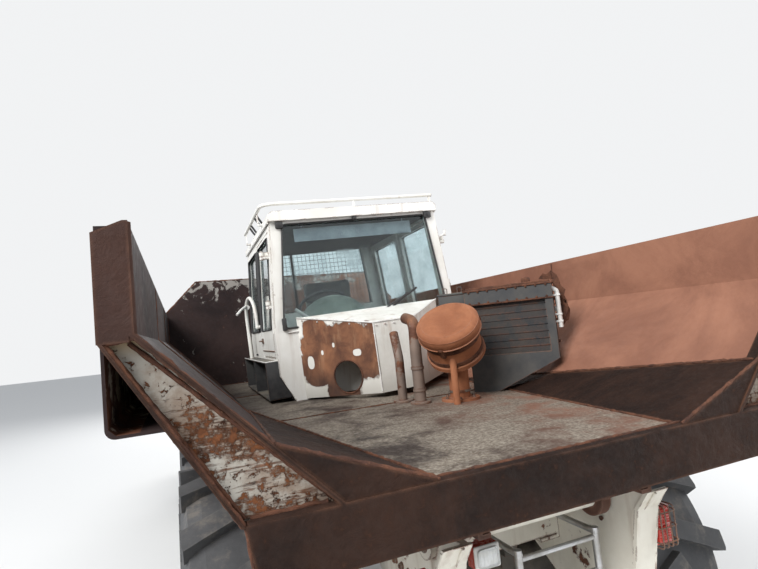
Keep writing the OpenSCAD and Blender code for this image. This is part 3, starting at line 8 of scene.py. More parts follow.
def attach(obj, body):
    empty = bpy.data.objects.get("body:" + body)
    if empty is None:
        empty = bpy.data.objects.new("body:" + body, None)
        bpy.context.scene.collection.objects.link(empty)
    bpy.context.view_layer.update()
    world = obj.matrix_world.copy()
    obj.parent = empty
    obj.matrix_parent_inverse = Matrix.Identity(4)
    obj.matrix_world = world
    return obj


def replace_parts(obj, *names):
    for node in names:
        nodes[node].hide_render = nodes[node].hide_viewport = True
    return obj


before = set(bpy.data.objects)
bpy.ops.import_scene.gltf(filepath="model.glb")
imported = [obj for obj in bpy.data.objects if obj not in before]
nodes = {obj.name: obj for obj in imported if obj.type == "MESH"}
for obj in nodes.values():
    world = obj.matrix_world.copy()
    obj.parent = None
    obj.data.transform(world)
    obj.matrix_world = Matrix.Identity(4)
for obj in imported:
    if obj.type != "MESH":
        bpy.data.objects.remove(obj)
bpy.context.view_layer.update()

scene = bpy.context.scene

# Main lines of the truck, in metres
TAIL_Y = -4.6
REAR_AXLE_Y = -3.37
MID_AXLE_Y = -1.7
FRONT_AXLE_Y = 2.3
AXLE_Z = 0.8
WHEEL_X = 0.91
FLOOR_Z = 1.726
KNEE_Z = 2.21
WALL_LINE_X = 1.225
HEAD_TOP = 2.815
HEAD_Y = -0.3
HINGE_Y, HINGE_Z = -4.27, 1.44
HOIST_X = 0.545
HOIST_FOOT_YZ, HOIST_HEAD_YZ = (-1.2, 1.06), (-2.9, 1.6)
SWIVEL_Z = 0.93
STEER_X, STEER_PIN_Y = 0.3, 0.53
KING_PIN_Y = 0.95
DECK_Z = 1.64
DECK_MOUNTS = [(x, y) for x in (-0.5, 0.5) for y in (1.25, 2.30)]
FENDER_R = 0.886
STACK_X, STACK_Y, STACK_FOOT_Z = 0.72, 2.63, 1.7247
BOX_LAMP_X = (0.56, 0.77)
CAB_PLACE = (
    Matrix.Translation((-0.418509, -2.44, 1.7263))
    @ Matrix.Rotation(math.radians(-1.0), 4, "Z")
    @ Matrix.Rotation(math.radians(-2.7), 4, "Y")
    @ Matrix.Translation((0.6, 0, 0))
)


# ---------------------------------------------------------------- shading

def add(tree, kind, sockets=None, **settings):
    node = tree.nodes.new("ShaderNode" + kind)
    for key, value in settings.items():
        setattr(node, key, value)
    for key, value in (sockets or {}).items():
        if isinstance(value, bpy.types.NodeSocket):
            tree.links.new(value, node.inputs[key])
        else:
            node.inputs[key].default_value = value
    return node


def calc(tree, operation, a, b=0.0, clamp=False):
    return add(tree, "Math", {0: a, 1: b}, operation=operation, use_clamp=clamp).outputs[0]


def times(tree, a, b, clamp=False):
    return calc(tree, "MULTIPLY", a, b, clamp)


def plus(tree, a, b):
    return calc(tree, "ADD", a, b)


def minus(tree, a, b):
    return calc(tree, "SUBTRACT", a, b)


def object_place(tree):
    return add(tree, "TexCoord").outputs["Object"]


def remap(tree, value, low, high, to_low=0.0, to_high=1.0, smooth=True):
    kind = "SMOOTHSTEP" if smooth else "LINEAR"
    sockets = {0: value, 1: low, 2: high, 3: to_low, 4: to_high}
    return add(tree, "MapRange", sockets, interpolation_type=kind, clamp=True).outputs[0]


def blend_colour(tree, factor, a, b):
    node = add(tree, "Mix", data_type="RGBA")
    for index, value in ((0, factor), (6, a), (7, b)):
        if isinstance(value, bpy.types.NodeSocket):
            tree.links.new(value, node.inputs[index])
        elif index == 0:
            node.inputs[0].default_value = value
        else:
            node.inputs[index].default_value = (*value, 1.0)
    return node.outputs[2]


def noise(tree, where, scale, detail=6.0, rough=0.6, distort=0.0):
    sockets = {"Vector": where, "Scale": scale, "Detail": detail, "Roughness": rough, "Distortion": distort}
    return add(tree, "TexNoise", sockets).outputs[0]


def group(name, inputs, outputs):
    tree = bpy.data.node_groups.new(name, "ShaderNodeTree")
    for label, default in inputs:
        socket = tree.interface.new_socket(label, in_out="INPUT", socket_type="NodeSocketFloat")
        socket.default_value = default
    for label, kind in outputs:
        tree.interface.new_socket(label, in_out="OUTPUT", socket_type="NodeSocket" + kind)
    return tree, tree.nodes.new("NodeGroupInput"), tree.nodes.new("NodeGroupOutput")


def build_edge_wear():
    """Mask of worn, broken edges."""
    tree, take, give = group("edge wear", [("Width", 0.012), ("Breakup", 9.0)], [("Mask", "Float")])
    place = object_place(tree)
    rounded = add(tree, "Bevel", {"Radius": take.outputs["Width"]}, samples=4).outputs[0]
    flat = add(tree, "NewGeometry").outputs["Normal"]
    likeness = add(tree, "VectorMath", {0: rounded, 1: flat}, operation="DOT_PRODUCT").outputs["Value"]
    edge = times(tree, minus(tree, 1.0, likeness), 5.0, True)
    broken = remap(tree, noise(tree, place, take.outputs["Breakup"], 5.0), 0.3, 0.62)
    tree.links.new(times(tree, edge, broken), give.inputs["Mask"])
    return tree


def build_rust_bloom():
    """Patches of rust that spread with Amount and from Edge, with their colour and relief."""
    inputs = [("Scale", 3.0), ("Amount", 0.5), ("Edge", 0.0)]
    outputs = [("Mask", "Float"), ("Color", "Color"), ("Height", "Float")]
    tree, take, give = group("rust bloom", inputs, outputs)
    place = object_place(tree)
    patch = noise(tree, place, take.outputs["Scale"], 9.0, 0.62, 0.3)
    speck = noise(tree, place, times(tree, take.outputs["Scale"], 7.0), 5.0, 0.7)
    spread = plus(tree, times(tree, patch, 0.72), times(tree, speck, 0.28))
    spread = plus(tree, spread, times(tree, take.outputs["Edge"], 0.3))
    limit = minus(tree, 0.82, times(tree, take.outputs["Amount"], 0.6))
    mask = remap(tree, minus(tree, spread, limit), 0.0, 0.035)
    tone = noise(tree, place, times(tree, take.outputs["Scale"], 2.3), 8.0, 0.7)
    ramp = add(tree, "ValToRGB", {0: tone})
    ramp.color_ramp.elements[0].position = 0.3
    ramp.color_ramp.elements[0].color = (0.055, 0.022, 0.014, 1)
    ramp.color_ramp.elements[1].position = 0.72
    ramp.color_ramp.elements[1].color = (0.30, 0.125, 0.055, 1)
    middle = ramp.color_ramp.elements.new(0.52)
    middle.color = (0.145, 0.058, 0.032, 1)
    grain = noise(tree, place, 160.0, 3.0, 0.6)
    tree.links.new(mask, give.inputs["Mask"])
    tree.links.new(ramp.outputs[0], give.inputs["Color"])
    tree.links.new(plus(tree, times(tree, speck, 0.8), times(tree, grain, 0.2)),
                   give.inputs["Height"])
    return tree


def build_settled_dust():
    """Mask of dust on upward faces and of splashed soil low down."""
    tree, take, give = group("settled dust", [("Amount", 0.5)], [("Mask", "Float")])
    place = object_place(tree)
    facing = add(tree, "NewGeometry").outputs["Normal"]
    up = remap(tree, add(tree, "SeparateXYZ", {0: facing}).outputs[2], 0.15, 0.95)
    low = remap(tree, add(tree, "SeparateXYZ", {0: place}).outputs[2], 1.5, 0.2, 0.0, 0.55)
    cloud = remap(tree, noise(tree, place, 5.0, 7.0, 0.65), 0.35, 0.7)
    fall = plus(tree, times(tree, up, 0.8), low)
    mask = times(tree, times(tree, fall, cloud), take.outputs["Amount"], True)
    tree.links.new(mask, give.inputs["Mask"])
    return tree


def build_grime_runs():
    """Mask of dirt that has run down."""
    tree, take, give = group("grime runs", [("Amount", 0.5)], [("Mask", "Float")])
    place = object_place(tree)
    drawn = add(tree, "Mapping", {"Vector": place, "Scale": (9.0, 9.0, 0.9)}).outputs[0]
    runs = remap(tree, noise(tree, drawn, 2.2, 6.0, 0.6), 0.5, 0.78)
    veil = remap(tree, noise(tree, place, 1.6, 4.0), 0.35, 0.65)
    mask = times(tree, times(tree, runs, veil), take.outputs["Amount"], True)
    tree.links.new(mask, give.inputs["Mask"])
    return tree


EDGE_WEAR = build_edge_wear()
RUST_BLOOM = build_rust_bloom()
SETTLED_DUST = build_settled_dust()
GRIME_RUNS = build_grime_runs()
DUST = (0.42, 0.36, 0.27)


def use(tree, kind, **values):
    node = tree.nodes.new("ShaderNodeGroup")
    node.node_tree = kind
    for key, value in values.items():
        if isinstance(value, bpy.types.NodeSocket):
            tree.links.new(value, node.inputs[key])
        else:
            node.inputs[key].default_value = value
    return node


def new_material(name, **constants):
    """Material with its tree and Principled shader; constants name sockets, spaces as underscores."""
    material = bpy.data.materials.new(name)
    material.use_nodes = True
    tree = material.node_tree
    shader = tree.nodes["Principled BSDF"]
    for key, value in constants.items():
        shader.inputs[key.replace("_", " ")].default_value = value
    return material, tree, shader


def bump(tree, shader, height, strength, distance):
    node = add(tree, "Bump", {"Height": height, "Strength": strength, "Distance": distance})
    tree.links.new(node.outputs[0], shader.inputs["Normal"])


def make_painted(name, paint, fade, rust, scale, dust=0.5, grime=0.5, edge=0.012, gloss=0.45):
    """Weathered paint over rusting steel: faded, chipped at the edges, run with grime, dusty on top."""
    material, tree, shader = new_material(name)
    place = object_place(tree)
    cloud = remap(tree, noise(tree, place, 2.5, 7.0, 0.65), 0.3, 0.7)
    coat = blend_colour(tree, cloud, paint, fade)
    wear = use(tree, EDGE_WEAR, Width=edge).outputs[0]
    bloom = use(tree, RUST_BLOOM, Scale=scale, Amount=rust, Edge=wear)
    runs = use(tree, GRIME_RUNS, Amount=grime).outputs[0]
    fall = use(tree, SETTLED_DUST, Amount=dust).outputs[0]
    colour = blend_colour(tree, runs, coat, (0.26, 0.15, 0.08))
    colour = blend_colour(tree, bloom.outputs["Mask"], colour, bloom.outputs["Color"])
    colour = blend_colour(tree, fall, colour, DUST)
    tree.links.new(colour, shader.inputs["Base Color"])
    rough = remap(tree, bloom.outputs["Mask"], 0.0, 1.0, gloss, 0.88, False)
    tree.links.new(calc(tree, "MAXIMUM", rough, times(tree, fall, 0.95)), shader.inputs["Roughness"])
    lift = times(tree, bloom.outputs["Mask"], minus(tree, bloom.outputs["Height"], 0.9))
    bump(tree, shader, lift, 0.6, 0.004)
    return material


def make_rusted(name, tint, dark, scale, dust=0.4, lumps=0.6):
    """Bare rusted plate: brown clouds, lighter scuffs, pitted and lumpy."""
    material, tree, shader = new_material(name, Specular_IOR_Level=0.25)
    place = object_place(tree)
    cloud = remap(tree, noise(tree, place, scale, 9.0, 0.68, 0.4), 0.32, 0.68)
    flake = noise(tree, place, scale * 11.0, 6.0, 0.7)
    colour = blend_colour(tree, cloud, dark, tint)
    scuff = remap(tree, flake, 0.56, 0.72, 0.0, 0.7)
    colour = blend_colour(tree, scuff, colour, (0.27, 0.13, 0.075))
    wear = use(tree, EDGE_WEAR, Width=0.014).outputs[0]
    colour = blend_colour(tree, times(tree, wear, 0.6), colour, (0.34, 0.20, 0.15))
    fall = use(tree, SETTLED_DUST, Amount=dust).outputs[0]
    colour = blend_colour(tree, fall, colour, (0.34, 0.25, 0.18))
    tree.links.new(colour, shader.inputs["Base Color"])
    tree.links.new(remap(tree, flake, 0.3, 0.7, 0.68, 0.92), shader.inputs["Roughness"])
    height = plus(tree, times(tree, cloud, lumps), times(tree, flake, 0.35))
    bump(tree, shader, height, 0.75, 0.006)
    return material


def make_bed_plate():
    """Dump body: worn to rust inside, with painted shade on the left and painted sunlight on the right, soil on its
    floor, scabbed cream paint outside.
    """
    material, tree, shader = new_material("bed plate", Specular_IOR_Level=0.2)
    place = object_place(tree)
    px, _, pz = add(tree, "SeparateXYZ", {0: place}).outputs
    nx, ny, nz = add(tree, "SeparateXYZ", {0: add(tree, "NewGeometry").outputs["Normal"]}).outputs
    toward = times(tree, times(tree, calc(tree, "SIGN", px), nx), -1.0)
    inner = calc(tree, "GREATER_THAN", plus(tree, toward, nz), 0.1)
    inner = times(tree, inner, calc(tree, "LESS_THAN", calc(tree, "ABSOLUTE", px), WALL_LINE_X))
    back = calc(tree, "LESS_THAN", ny, -0.5)
    inner = calc(tree, "MAXIMUM", inner, back)
    cloud = remap(tree, noise(tree, place, 1.9, 9.0, 0.66, 0.5), 0.34, 0.68)
    flake = noise(tree, place, 24.0, 6.0, 0.7)
    # Painted shade and sunlight: the bare rust inside, headboard included, runs from very dark on the shaded left wall
    # to bright on the sunlit right wall.
    side = remap(tree, px, -0.4, 0.9)
    light = blend_colour(tree, side, (0.040, 0.024, 0.022), (0.33, 0.155, 0.098))
    deep = blend_colour(tree, side, (0.017, 0.011, 0.011), (0.215, 0.096, 0.062))
    bare = blend_colour(tree, cloud, deep, light)
    bare = blend_colour(tree, remap(tree, flake, 0.58, 0.78, 0.0, 0.35), bare, (0.21, 0.105, 0.07))
    # Pale paint chips on the back faces, thickening toward the headboard's top edge as painted sunlight on its upper
    # band.
    high = times(tree, back, remap(tree, pz, HEAD_TOP - 0.34, HEAD_TOP, 0.0, 0.17))
    chips_and_sunlight = plus(tree, noise(tree, place, 7.0, 9.0, 0.7, 0.8), minus(tree, high, 0.10))
    chips_and_sunlight = times(tree, remap(tree, chips_and_sunlight, 0.535, 0.57), back)
    bare = blend_colour(tree, times(tree, chips_and_sunlight, 0.75), bare, (0.36, 0.34, 0.31))
    wear = use(tree, EDGE_WEAR, Width=0.014).outputs[0]
    bloom = use(tree, RUST_BLOOM, Scale=2.6, Amount=0.62, Edge=wear)
    runs = use(tree, GRIME_RUNS, Amount=0.8).outputs[0]
    coat = blend_colour(tree, remap(tree, noise(tree, place, 3.0), 0.3, 0.7), (0.70, 0.66, 0.55), (0.58, 0.52, 0.42))
    coat = blend_colour(tree, runs, coat, (0.24, 0.12, 0.06))
    coat = blend_colour(tree, bloom.outputs["Mask"], coat, bloom.outputs["Color"])
    colour = blend_colour(tree, inner, coat, bare)
    flat = times(tree, calc(tree, "GREATER_THAN", nz, 0.9), remap(tree, calc(tree, "ABSOLUTE", px), 0.95, 0.5))
    soil = noise(tree, place, 3.1, 10.0, 0.72, 0.3)
    film = times(tree, flat, remap(tree, soil, 0.36, 0.56, 0.12, 0.92))
    grit = remap(tree, noise(tree, place, 85.0, 5.0, 0.75), 0.36, 0.66)
    earth = blend_colour(tree, grit, (0.13, 0.105, 0.08), (0.34, 0.30, 0.245))
    colour = blend_colour(tree, film, colour, earth)
    tree.links.new(colour, shader.inputs["Base Color"])
    tree.links.new(remap(tree, flake, 0.3, 0.7, 0.62, 0.9), shader.inputs["Roughness"])
    height = plus(tree, times(tree, cloud, 0.5), times(tree, flake, 0.4))
    bump(tree, shader, height, 0.7, 0.006)
    return material


def make_tail_plate():
    """Tail frame: flaking rust on beam and posts, darkened with painted shade; scratched, specked cream paint in the
    recessed webs.
    """
    material, tree, shader = new_material("tail plate", Specular_IOR_Level=0.15)
    place = object_place(tree)
    _, py, pz = add(tree, "SeparateXYZ", {0: place}).outputs
    ny = add(tree, "SeparateXYZ", {0: add(tree, "NewGeometry").outputs["Normal"]}).outputs[1]
    recessed = calc(tree, "GREATER_THAN", py, TAIL_Y + 0.03)
    recessed = times(tree, recessed, calc(tree, "LESS_THAN", py, TAIL_Y + 0.059))
    web = times(tree, recessed, calc(tree, "LESS_THAN", ny, -0.6))
    cloud = remap(tree, noise(tree, place, 3.2, 9.0, 0.68, 0.6), 0.33, 0.68)
    flake = noise(tree, place, 34.0, 6.0, 0.7)
    scale = noise(tree, place, 11.0, 8.0, 0.7, 1.2)
    # Painted shade: the bare rust of beam and posts is darkened almost to black, the shade they stand in.
    bare = blend_colour(tree, cloud, (0.012, 0.0065, 0.005), (0.034, 0.0165, 0.011))
    bare = blend_colour(tree, remap(tree, flake, 0.57, 0.76, 0.0, 0.4), bare, (0.095, 0.044, 0.026))
    upper = remap(tree, pz, 2.12, 2.24)
    bare = blend_colour(tree, times(tree, upper, 0.5), bare, (0.080, 0.042, 0.034))
    wear = use(tree, EDGE_WEAR, Width=0.014).outputs[0]
    bare = blend_colour(tree, times(tree, wear, 0.5), bare, (0.17, 0.082, 0.050))
    reach = remap(tree, pz, FLOOR_Z, KNEE_Z, 0.0, 1.0, False)
    speck = noise(tree, place, 48.0, 6.0, 0.72, 0.2)
    blot = noise(tree, place, 13.0, 9.0, 0.72, 0.4)
    scratch = add(tree, "Mapping", {"Vector": place, "Rotation": (0.0, 0.7, 0.0),
                                    "Scale": (7.0, 1.0, 70.0)}).outputs[0]
    line = noise(tree, scratch, 1.6, 7.0, 0.7, 0.3)
    foot = remap(tree, reach, 0.30, 0.0, 0.0, 0.11)
    belly = minus(tree, 0.135, times(tree, calc(tree, "ABSOLUTE", minus(tree, reach, 0.42)), 0.42))
    load = plus(tree, foot, calc(tree, "MAXIMUM", belly, -0.02))
    rusty = plus(tree, times(tree, blot, 0.5), times(tree, speck, 0.5))
    rusty = remap(tree, plus(tree, rusty, load), 0.575, 0.665)
    lines = remap(tree, plus(tree, line, load), 0.585, 0.69, 0.0, 0.85)
    spots = remap(tree, plus(tree, speck, times(tree, load, 0.4)), 0.58, 0.62)
    coat = blend_colour(tree, remap(tree, noise(tree, place, 6.0), 0.3, 0.7), (0.50, 0.475, 0.42),
                        (0.36, 0.33, 0.285))
    coat = blend_colour(tree, times(tree, remap(tree, reach, 0.86, 1.0), 0.8), coat, (0.40, 0.24, 0.08))
    stain = remap(tree, plus(tree, noise(tree, place, 5.0, 8.0, 0.68), load), 0.47, 0.68, 0.0, 0.8)
    coat = blend_colour(tree, stain, coat, (0.215, 0.145, 0.10))
    tone = blend_colour(tree, remap(tree, blot, 0.36, 0.66), (0.030, 0.014, 0.010), (0.21, 0.078, 0.032))
    for mask in (lines, spots, rusty):
        coat = blend_colour(tree, mask, coat, tone)
    colour = blend_colour(tree, web, bare, coat)
    tree.links.new(colour, shader.inputs["Base Color"])
    tree.links.new(remap(tree, flake, 0.3, 0.7, 0.60, 0.9), shader.inputs["Roughness"])
    pits = plus(tree, times(tree, scale, 0.8), times(tree, flake, 0.3))
    rise = times(tree, calc(tree, "MAXIMUM", rusty, spots), 0.25)
    calm = blend_colour(tree, web, pits, rise)
    bump(tree, shader, calm, 1.0, 0.013)
    return material


def make_crust():
    """Thick rust scale on lips and weld runs, with red and dark grains."""
    material, tree, shader = new_material("crusted lips", Specular_IOR_Level=0.2)
    place = object_place(tree)
    cloud = remap(tree, noise(tree, place, 14.0, 8.0, 0.7, 0.5), 0.32, 0.68)
    grain = noise(tree, place, 95.0, 5.0, 0.7)
    colour = blend_colour(tree, cloud, (0.050, 0.024, 0.018), (0.155, 0.066, 0.038))
    colour = blend_colour(tree, remap(tree, grain, 0.55, 0.7, 0.0, 0.6), colour, (0.26, 0.125, 0.075))
    tree.links.new(colour, shader.inputs["Base Color"])
    tree.links.new(remap(tree, grain, 0.3, 0.7, 0.65, 0.95), shader.inputs["Roughness"])
    bump(tree, shader, plus(tree, grain, cloud), 0.8, 0.004)
    return material


def make_seat_cloth():
    """Faded seat covering with a fine weave and soiled patches."""
    material, tree, shader = new_material("seat cloth", Sheen_Weight=0.25)
    place = object_place(tree)
    warp = add(tree, "TexWave", {"Vector": place, "Scale": 160.0, "Distortion": 0.4}, bands_direction="X").outputs[1]
    weft = add(tree, "TexWave", {"Vector": place, "Scale": 160.0, "Distortion": 0.4}, bands_direction="Z").outputs[1]
    weave = times(tree, plus(tree, warp, weft), 0.5)
    soil = remap(tree, noise(tree, place, 7.0, 7.0, 0.7), 0.35, 0.7)
    colour = blend_colour(tree, soil, (0.075, 0.080, 0.085), (0.15, 0.135, 0.115))
    colour = blend_colour(tree, times(tree, weave, 0.35), colour, (0.21, 0.21, 0.20))
    tree.links.new(colour, shader.inputs["Base Color"])
    tree.links.new(remap(tree, soil, 0.0, 1.0, 0.78, 0.95), shader.inputs["Roughness"])
    bump(tree, shader, weave, 0.4, 0.001)
    return material


def make_tyre_rubber():
    """Greyed rubber, rubbed pale at the lugs' edges, with dried clay."""
    material, tree, shader = new_material("tyre rubber")
    place = object_place(tree)
    cloud = remap(tree, noise(tree, place, 4.0, 8.0, 0.7), 0.3, 0.7)
    colour = blend_colour(tree, cloud, (0.035, 0.036, 0.039), (0.082, 0.083, 0.086))
    wear = use(tree, EDGE_WEAR, Width=0.01, Breakup=14.0).outputs[0]
    colour = blend_colour(tree, times(tree, wear, 0.5), colour, (0.14, 0.135, 0.13))
    clay = remap(tree, noise(tree, place, 9.0, 6.0, 0.7), 0.5, 0.72, 0.0, 0.55)
    colour = blend_colour(tree, clay, colour, (0.20, 0.175, 0.145))
    tree.links.new(colour, shader.inputs["Base Color"])
    grain = noise(tree, place, 120.0, 4.0, 0.6)
    tree.links.new(remap(tree, cloud, 0.0, 1.0, 0.72, 0.9), shader.inputs["Roughness"])
    bump(tree, shader, grain, 0.35, 0.002)
    return material


def make_grimy_metal(name, base, light, rough=0.6, metal=0.0, rust=0.35, dust=0.6):
    """Dull metal or dark paint with rust spots and dust."""
    material, tree, shader = new_material(name, Metallic=metal)
    place = object_place(tree)
    cloud = remap(tree, noise(tree, place, 6.0, 8.0, 0.66), 0.3, 0.72)
    colour = blend_colour(tree, cloud, base, light)
    wear = use(tree, EDGE_WEAR, Width=0.008, Breakup=12.0).outputs[0]
    bloom = use(tree, RUST_BLOOM, Scale=5.0, Amount=rust, Edge=wear)
    colour = blend_colour(tree, bloom.outputs["Mask"], colour, bloom.outputs["Color"])
    fall = use(tree, SETTLED_DUST, Amount=dust).outputs[0]
    colour = blend_colour(tree, fall, colour, DUST)
    tree.links.new(colour, shader.inputs["Base Color"])
    tree.links.new(remap(tree, cloud, 0.0, 1.0, rough, min(rough + 0.25, 0.95)), shader.inputs["Roughness"])
    bump(tree, shader, bloom.outputs["Height"], 0.3, 0.002)
    return material


def make_peeling_cowl():
    """Cab cowl: white paint peeled off its left face in one large rusty island with ragged dark lips, bare steel and
    paint both darkened toward the bottom with painted shadow.

    The islands are placed in the cab's own frame: along the left face from 0 to 1, and up in metres.
    """
    material, tree, shader = new_material("peeling cowl")
    place = object_place(tree)
    local = add(tree, "Mapping", {"Vector": place, "Location": CAB_PLACE @ Vector((0, 0, 0)),
                                  "Rotation": CAB_PLACE.to_euler()}, vector_type="TEXTURE").outputs[0]
    x, _, z = add(tree, "SeparateXYZ", {0: local}).outputs
    along = calc(tree, "DIVIDE", plus(tree, x, 0.533), 0.393)
    patch = noise(tree, place, 8.0, 9.0, 0.62, 0.5)

    def island(u, v, wide, tall):
        across = calc(tree, "DIVIDE", minus(tree, along, u), wide)
        upward = calc(tree, "DIVIDE", minus(tree, z, v), tall)
        square = plus(tree, calc(tree, "POWER", calc(tree, "ABSOLUTE", across), 2.6),
                      calc(tree, "POWER", calc(tree, "ABSOLUTE", upward), 2.6))
        return minus(tree, 1.0, square)

    bare = island(0.53, 0.27, 0.56, 0.20)
    for spot in ((0.24, 0.44, 0.17, 0.09), (0.95, 0.42, 0.06, 0.05), (0.22, 0.17, 0.2, 0.09),
                 (0.52, 0.08, 0.22, 0.13)):
        bare = calc(tree, "MAXIMUM", bare, island(*spot))
    for spot in ((0.13, 0.24, 0.05, 0.05), (0.75, 0.275, 0.07, 0.03), (0.46, 0.34, 0.02, 0.02),
                 (0.3, 0.3, 0.02, 0.02)):
        bare = minus(tree, bare, times(tree, calc(tree, "MAXIMUM", island(*spot), 0.0), 2.0))
    left = calc(tree, "LESS_THAN", along, 1.02)
    level = plus(tree, bare, times(tree, minus(tree, patch, 0.5), 2.0))
    level = minus(tree, level, times(tree, minus(tree, 1.0, left), 1.1))
    mask = remap(tree, level, 0.0, 0.05)
    cloud = remap(tree, noise(tree, place, 7.0, 8.0, 0.66, 0.4), 0.32, 0.7)
    streak = noise(tree, add(tree, "Mapping", {"Vector": place, "Scale": (26.0, 26.0, 5.0)}).outputs[0], 1.0, 5.0)
    steel = blend_colour(tree, cloud, (0.10, 0.040, 0.022), (0.27, 0.115, 0.055))
    steel = blend_colour(tree, remap(tree, streak, 0.5, 0.75, 0.0, 0.5), steel, (0.36, 0.20, 0.11))
    # Painted shadow: the bare steel darkens toward the bottom, where the bed wall's shadow falls.
    low = remap(tree, z, 0.22, 0.06)
    steel = blend_colour(tree, times(tree, low, 0.7), steel, (0.035, 0.018, 0.014))
    white = blend_colour(tree, cloud, (0.70, 0.68, 0.62), (0.84, 0.82, 0.77))
    # Painted shadow: the white paint greys toward the bottom, in the same shadow.
    white = blend_colour(tree, times(tree, remap(tree, z, 0.2, 0.0), 0.75), white, (0.44, 0.42, 0.37))
    runs = use(tree, GRIME_RUNS, Amount=0.75).outputs[0]
    white = blend_colour(tree, runs, white, (0.34, 0.20, 0.11))
    lip = times(tree, remap(tree, level, -0.22, 0.0, 0.0, 1.0), remap(tree, streak, 0.35, 0.6))
    white = blend_colour(tree, times(tree, lip, 0.75), white, (0.09, 0.05, 0.035))
    colour = blend_colour(tree, mask, white, steel)
    tree.links.new(colour, shader.inputs["Base Color"])
    tree.links.new(remap(tree, mask, 0.0, 1.0, 0.42, 0.86), shader.inputs["Roughness"])
    bump(tree, shader, minus(tree, times(tree, streak, 0.2), mask), 0.8, 0.004)
    return material


def make_pane():
    """Bluish glass with a patchy film of dirt."""
    material, tree, shader = new_material("cab pane", Transmission_Weight=1.0, IOR=1.45, Metallic=0.0)
    place = object_place(tree)
    haze = remap(tree, noise(tree, place, 5.0, 7.0, 0.7), 0.4, 0.75)
    tree.links.new(blend_colour(tree, haze, (0.80, 0.90, 0.92), (0.62, 0.72, 0.74)), shader.inputs["Base Color"])
    tree.links.new(remap(tree, haze, 0.0, 1.0, 0.02, 0.16), shader.inputs["Roughness"])
    return material


def make_plain(name, colour, light, rough, metal=0.0, scale=20.0, height=0.15, **constants):
    """Small parts of one material: a cloudy colour, varied roughness and a fine grain."""
    material, tree, shader = new_material(name, Metallic=metal, **constants)
    place = object_place(tree)
    cloud = remap(tree, noise(tree, place, scale, 6.0, 0.65), 0.32, 0.7)
    tree.links.new(blend_colour(tree, cloud, colour, light), shader.inputs["Base Color"])
    tree.links.new(remap(tree, cloud, 0.0, 1.0, rough, min(rough + 0.2, 1.0)), shader.inputs["Roughness"])
    bump(tree, shader, noise(tree, place, scale * 8.0, 4.0), height, 0.001)
    return material


bed_plate = make_bed_plate()
tail_plate = make_tail_plate()
crusted = make_crust()
sill_steel = make_rusted("sill steel", (0.12, 0.06, 0.042), (0.055, 0.03, 0.024), 3.0)
drum_rust = make_rusted("drum rust", (0.37, 0.145, 0.068), (0.24, 0.088, 0.042), 5.0, 0.1, 0.25)
cab_white = make_painted("cab white", (0.84, 0.83, 0.79), (0.74, 0.72, 0.66), 0.27, 5.0, 0.25, 0.45)
peeling_cowl = make_peeling_cowl()
frame_cream = make_painted("frame cream", (0.80, 0.77, 0.68), (0.66, 0.62, 0.53), 0.36, 4.0, 0.55, 0.6)
bonnet_cream = make_painted("bonnet cream", (0.82, 0.79, 0.71), (0.70, 0.66, 0.57), 0.33, 3.2, 0.45, 0.5)
rim_cream = make_painted("rim cream", (0.74, 0.70, 0.60), (0.58, 0.53, 0.44), 0.42, 6.0, 0.6, 0.4)
axle_grime = make_grimy_metal("axle grime", (0.045, 0.042, 0.04), (0.115, 0.10, 0.085))
engine_grey = make_grimy_metal("engine grey", (0.10, 0.105, 0.11), (0.19, 0.185, 0.17), 0.55, 0.0, 0.3)
deck_dark = make_grimy_metal("deck dark", (0.06, 0.06, 0.06), (0.13, 0.12, 0.105), 0.7, 0.0, 0.45)
grille_black = make_grimy_metal("grille black", (0.03, 0.03, 0.032), (0.08, 0.078, 0.072), 0.55, 0.0, 0.25)
stack_steel = make_grimy_metal("stack steel", (0.16, 0.12, 0.10), (0.26, 0.19, 0.15), 0.6, 0.4, 0.55, 0.2)
barrel_paint = make_painted("barrel paint", (0.62, 0.58, 0.48), (0.45, 0.41, 0.33), 0.35, 6.0, 0.5, 0.6, 0.008)
rod_steel = make_plain("rod steel", (0.62, 0.62, 0.63), (0.45, 0.42, 0.40), 0.18, 1.0, 9.0)
tyre_rubber = make_tyre_rubber()
cab_pane = make_pane()
seat_trim = make_plain("seat trim", (0.055, 0.058, 0.06), (0.11, 0.112, 0.11), 0.65, 0.0, 14.0, 0.4)
radiator_black = make_grimy_metal("radiator black", (0.028, 0.03, 0.033), (0.09, 0.085, 0.078), 0.6, 0.0, 0.3)
red_lens = make_plain("red lens", (0.42, 0.03, 0.02), (0.55, 0.06, 0.04), 0.18, 0.0, 30.0, 0.1, Coat_Weight=0.5)
clear_lens = make_plain("clear lens", (0.78, 0.79, 0.78), (0.66, 0.66, 0.63), 0.12, 0.0, 30.0, 0.1, Coat_Weight=0.5)
bare_tube = make_plain("bare tube", (0.58, 0.59, 0.60), (0.42, 0.41, 0.39), 0.32, 0.85, 18.0)
black_rubber = make_plain("black rubber", (0.018, 0.018, 0.02), (0.045, 0.043, 0.042), 0.55, 0.0, 25.0, 0.3)
bolt_steel = make_grimy_metal("bolt steel", (0.16, 0.13, 0.11), (0.28, 0.24, 0.20), 0.5, 0.5, 0.5, 0.3)
dark_wire = make_plain("dark wire", (0.03, 0.03, 0.032), (0.07, 0.065, 0.06), 0.5, 0.4, 30.0)
pipe_grey = make_grimy_metal("pipe grey", (0.15, 0.14, 0.125), (0.30, 0.28, 0.25), 0.6, 0.0, 0.4, 0.4)
core_dark = make_grimy_metal("core dark", (0.022, 0.026, 0.032), (0.07, 0.06, 0.052), 0.6, 0.2, 0.35, 0.3)
lining_dark = make_plain("lining dark", (0.04, 0.045, 0.05), (0.09, 0.09, 0.085), 0.75, 0.0, 10.0, 0.3)
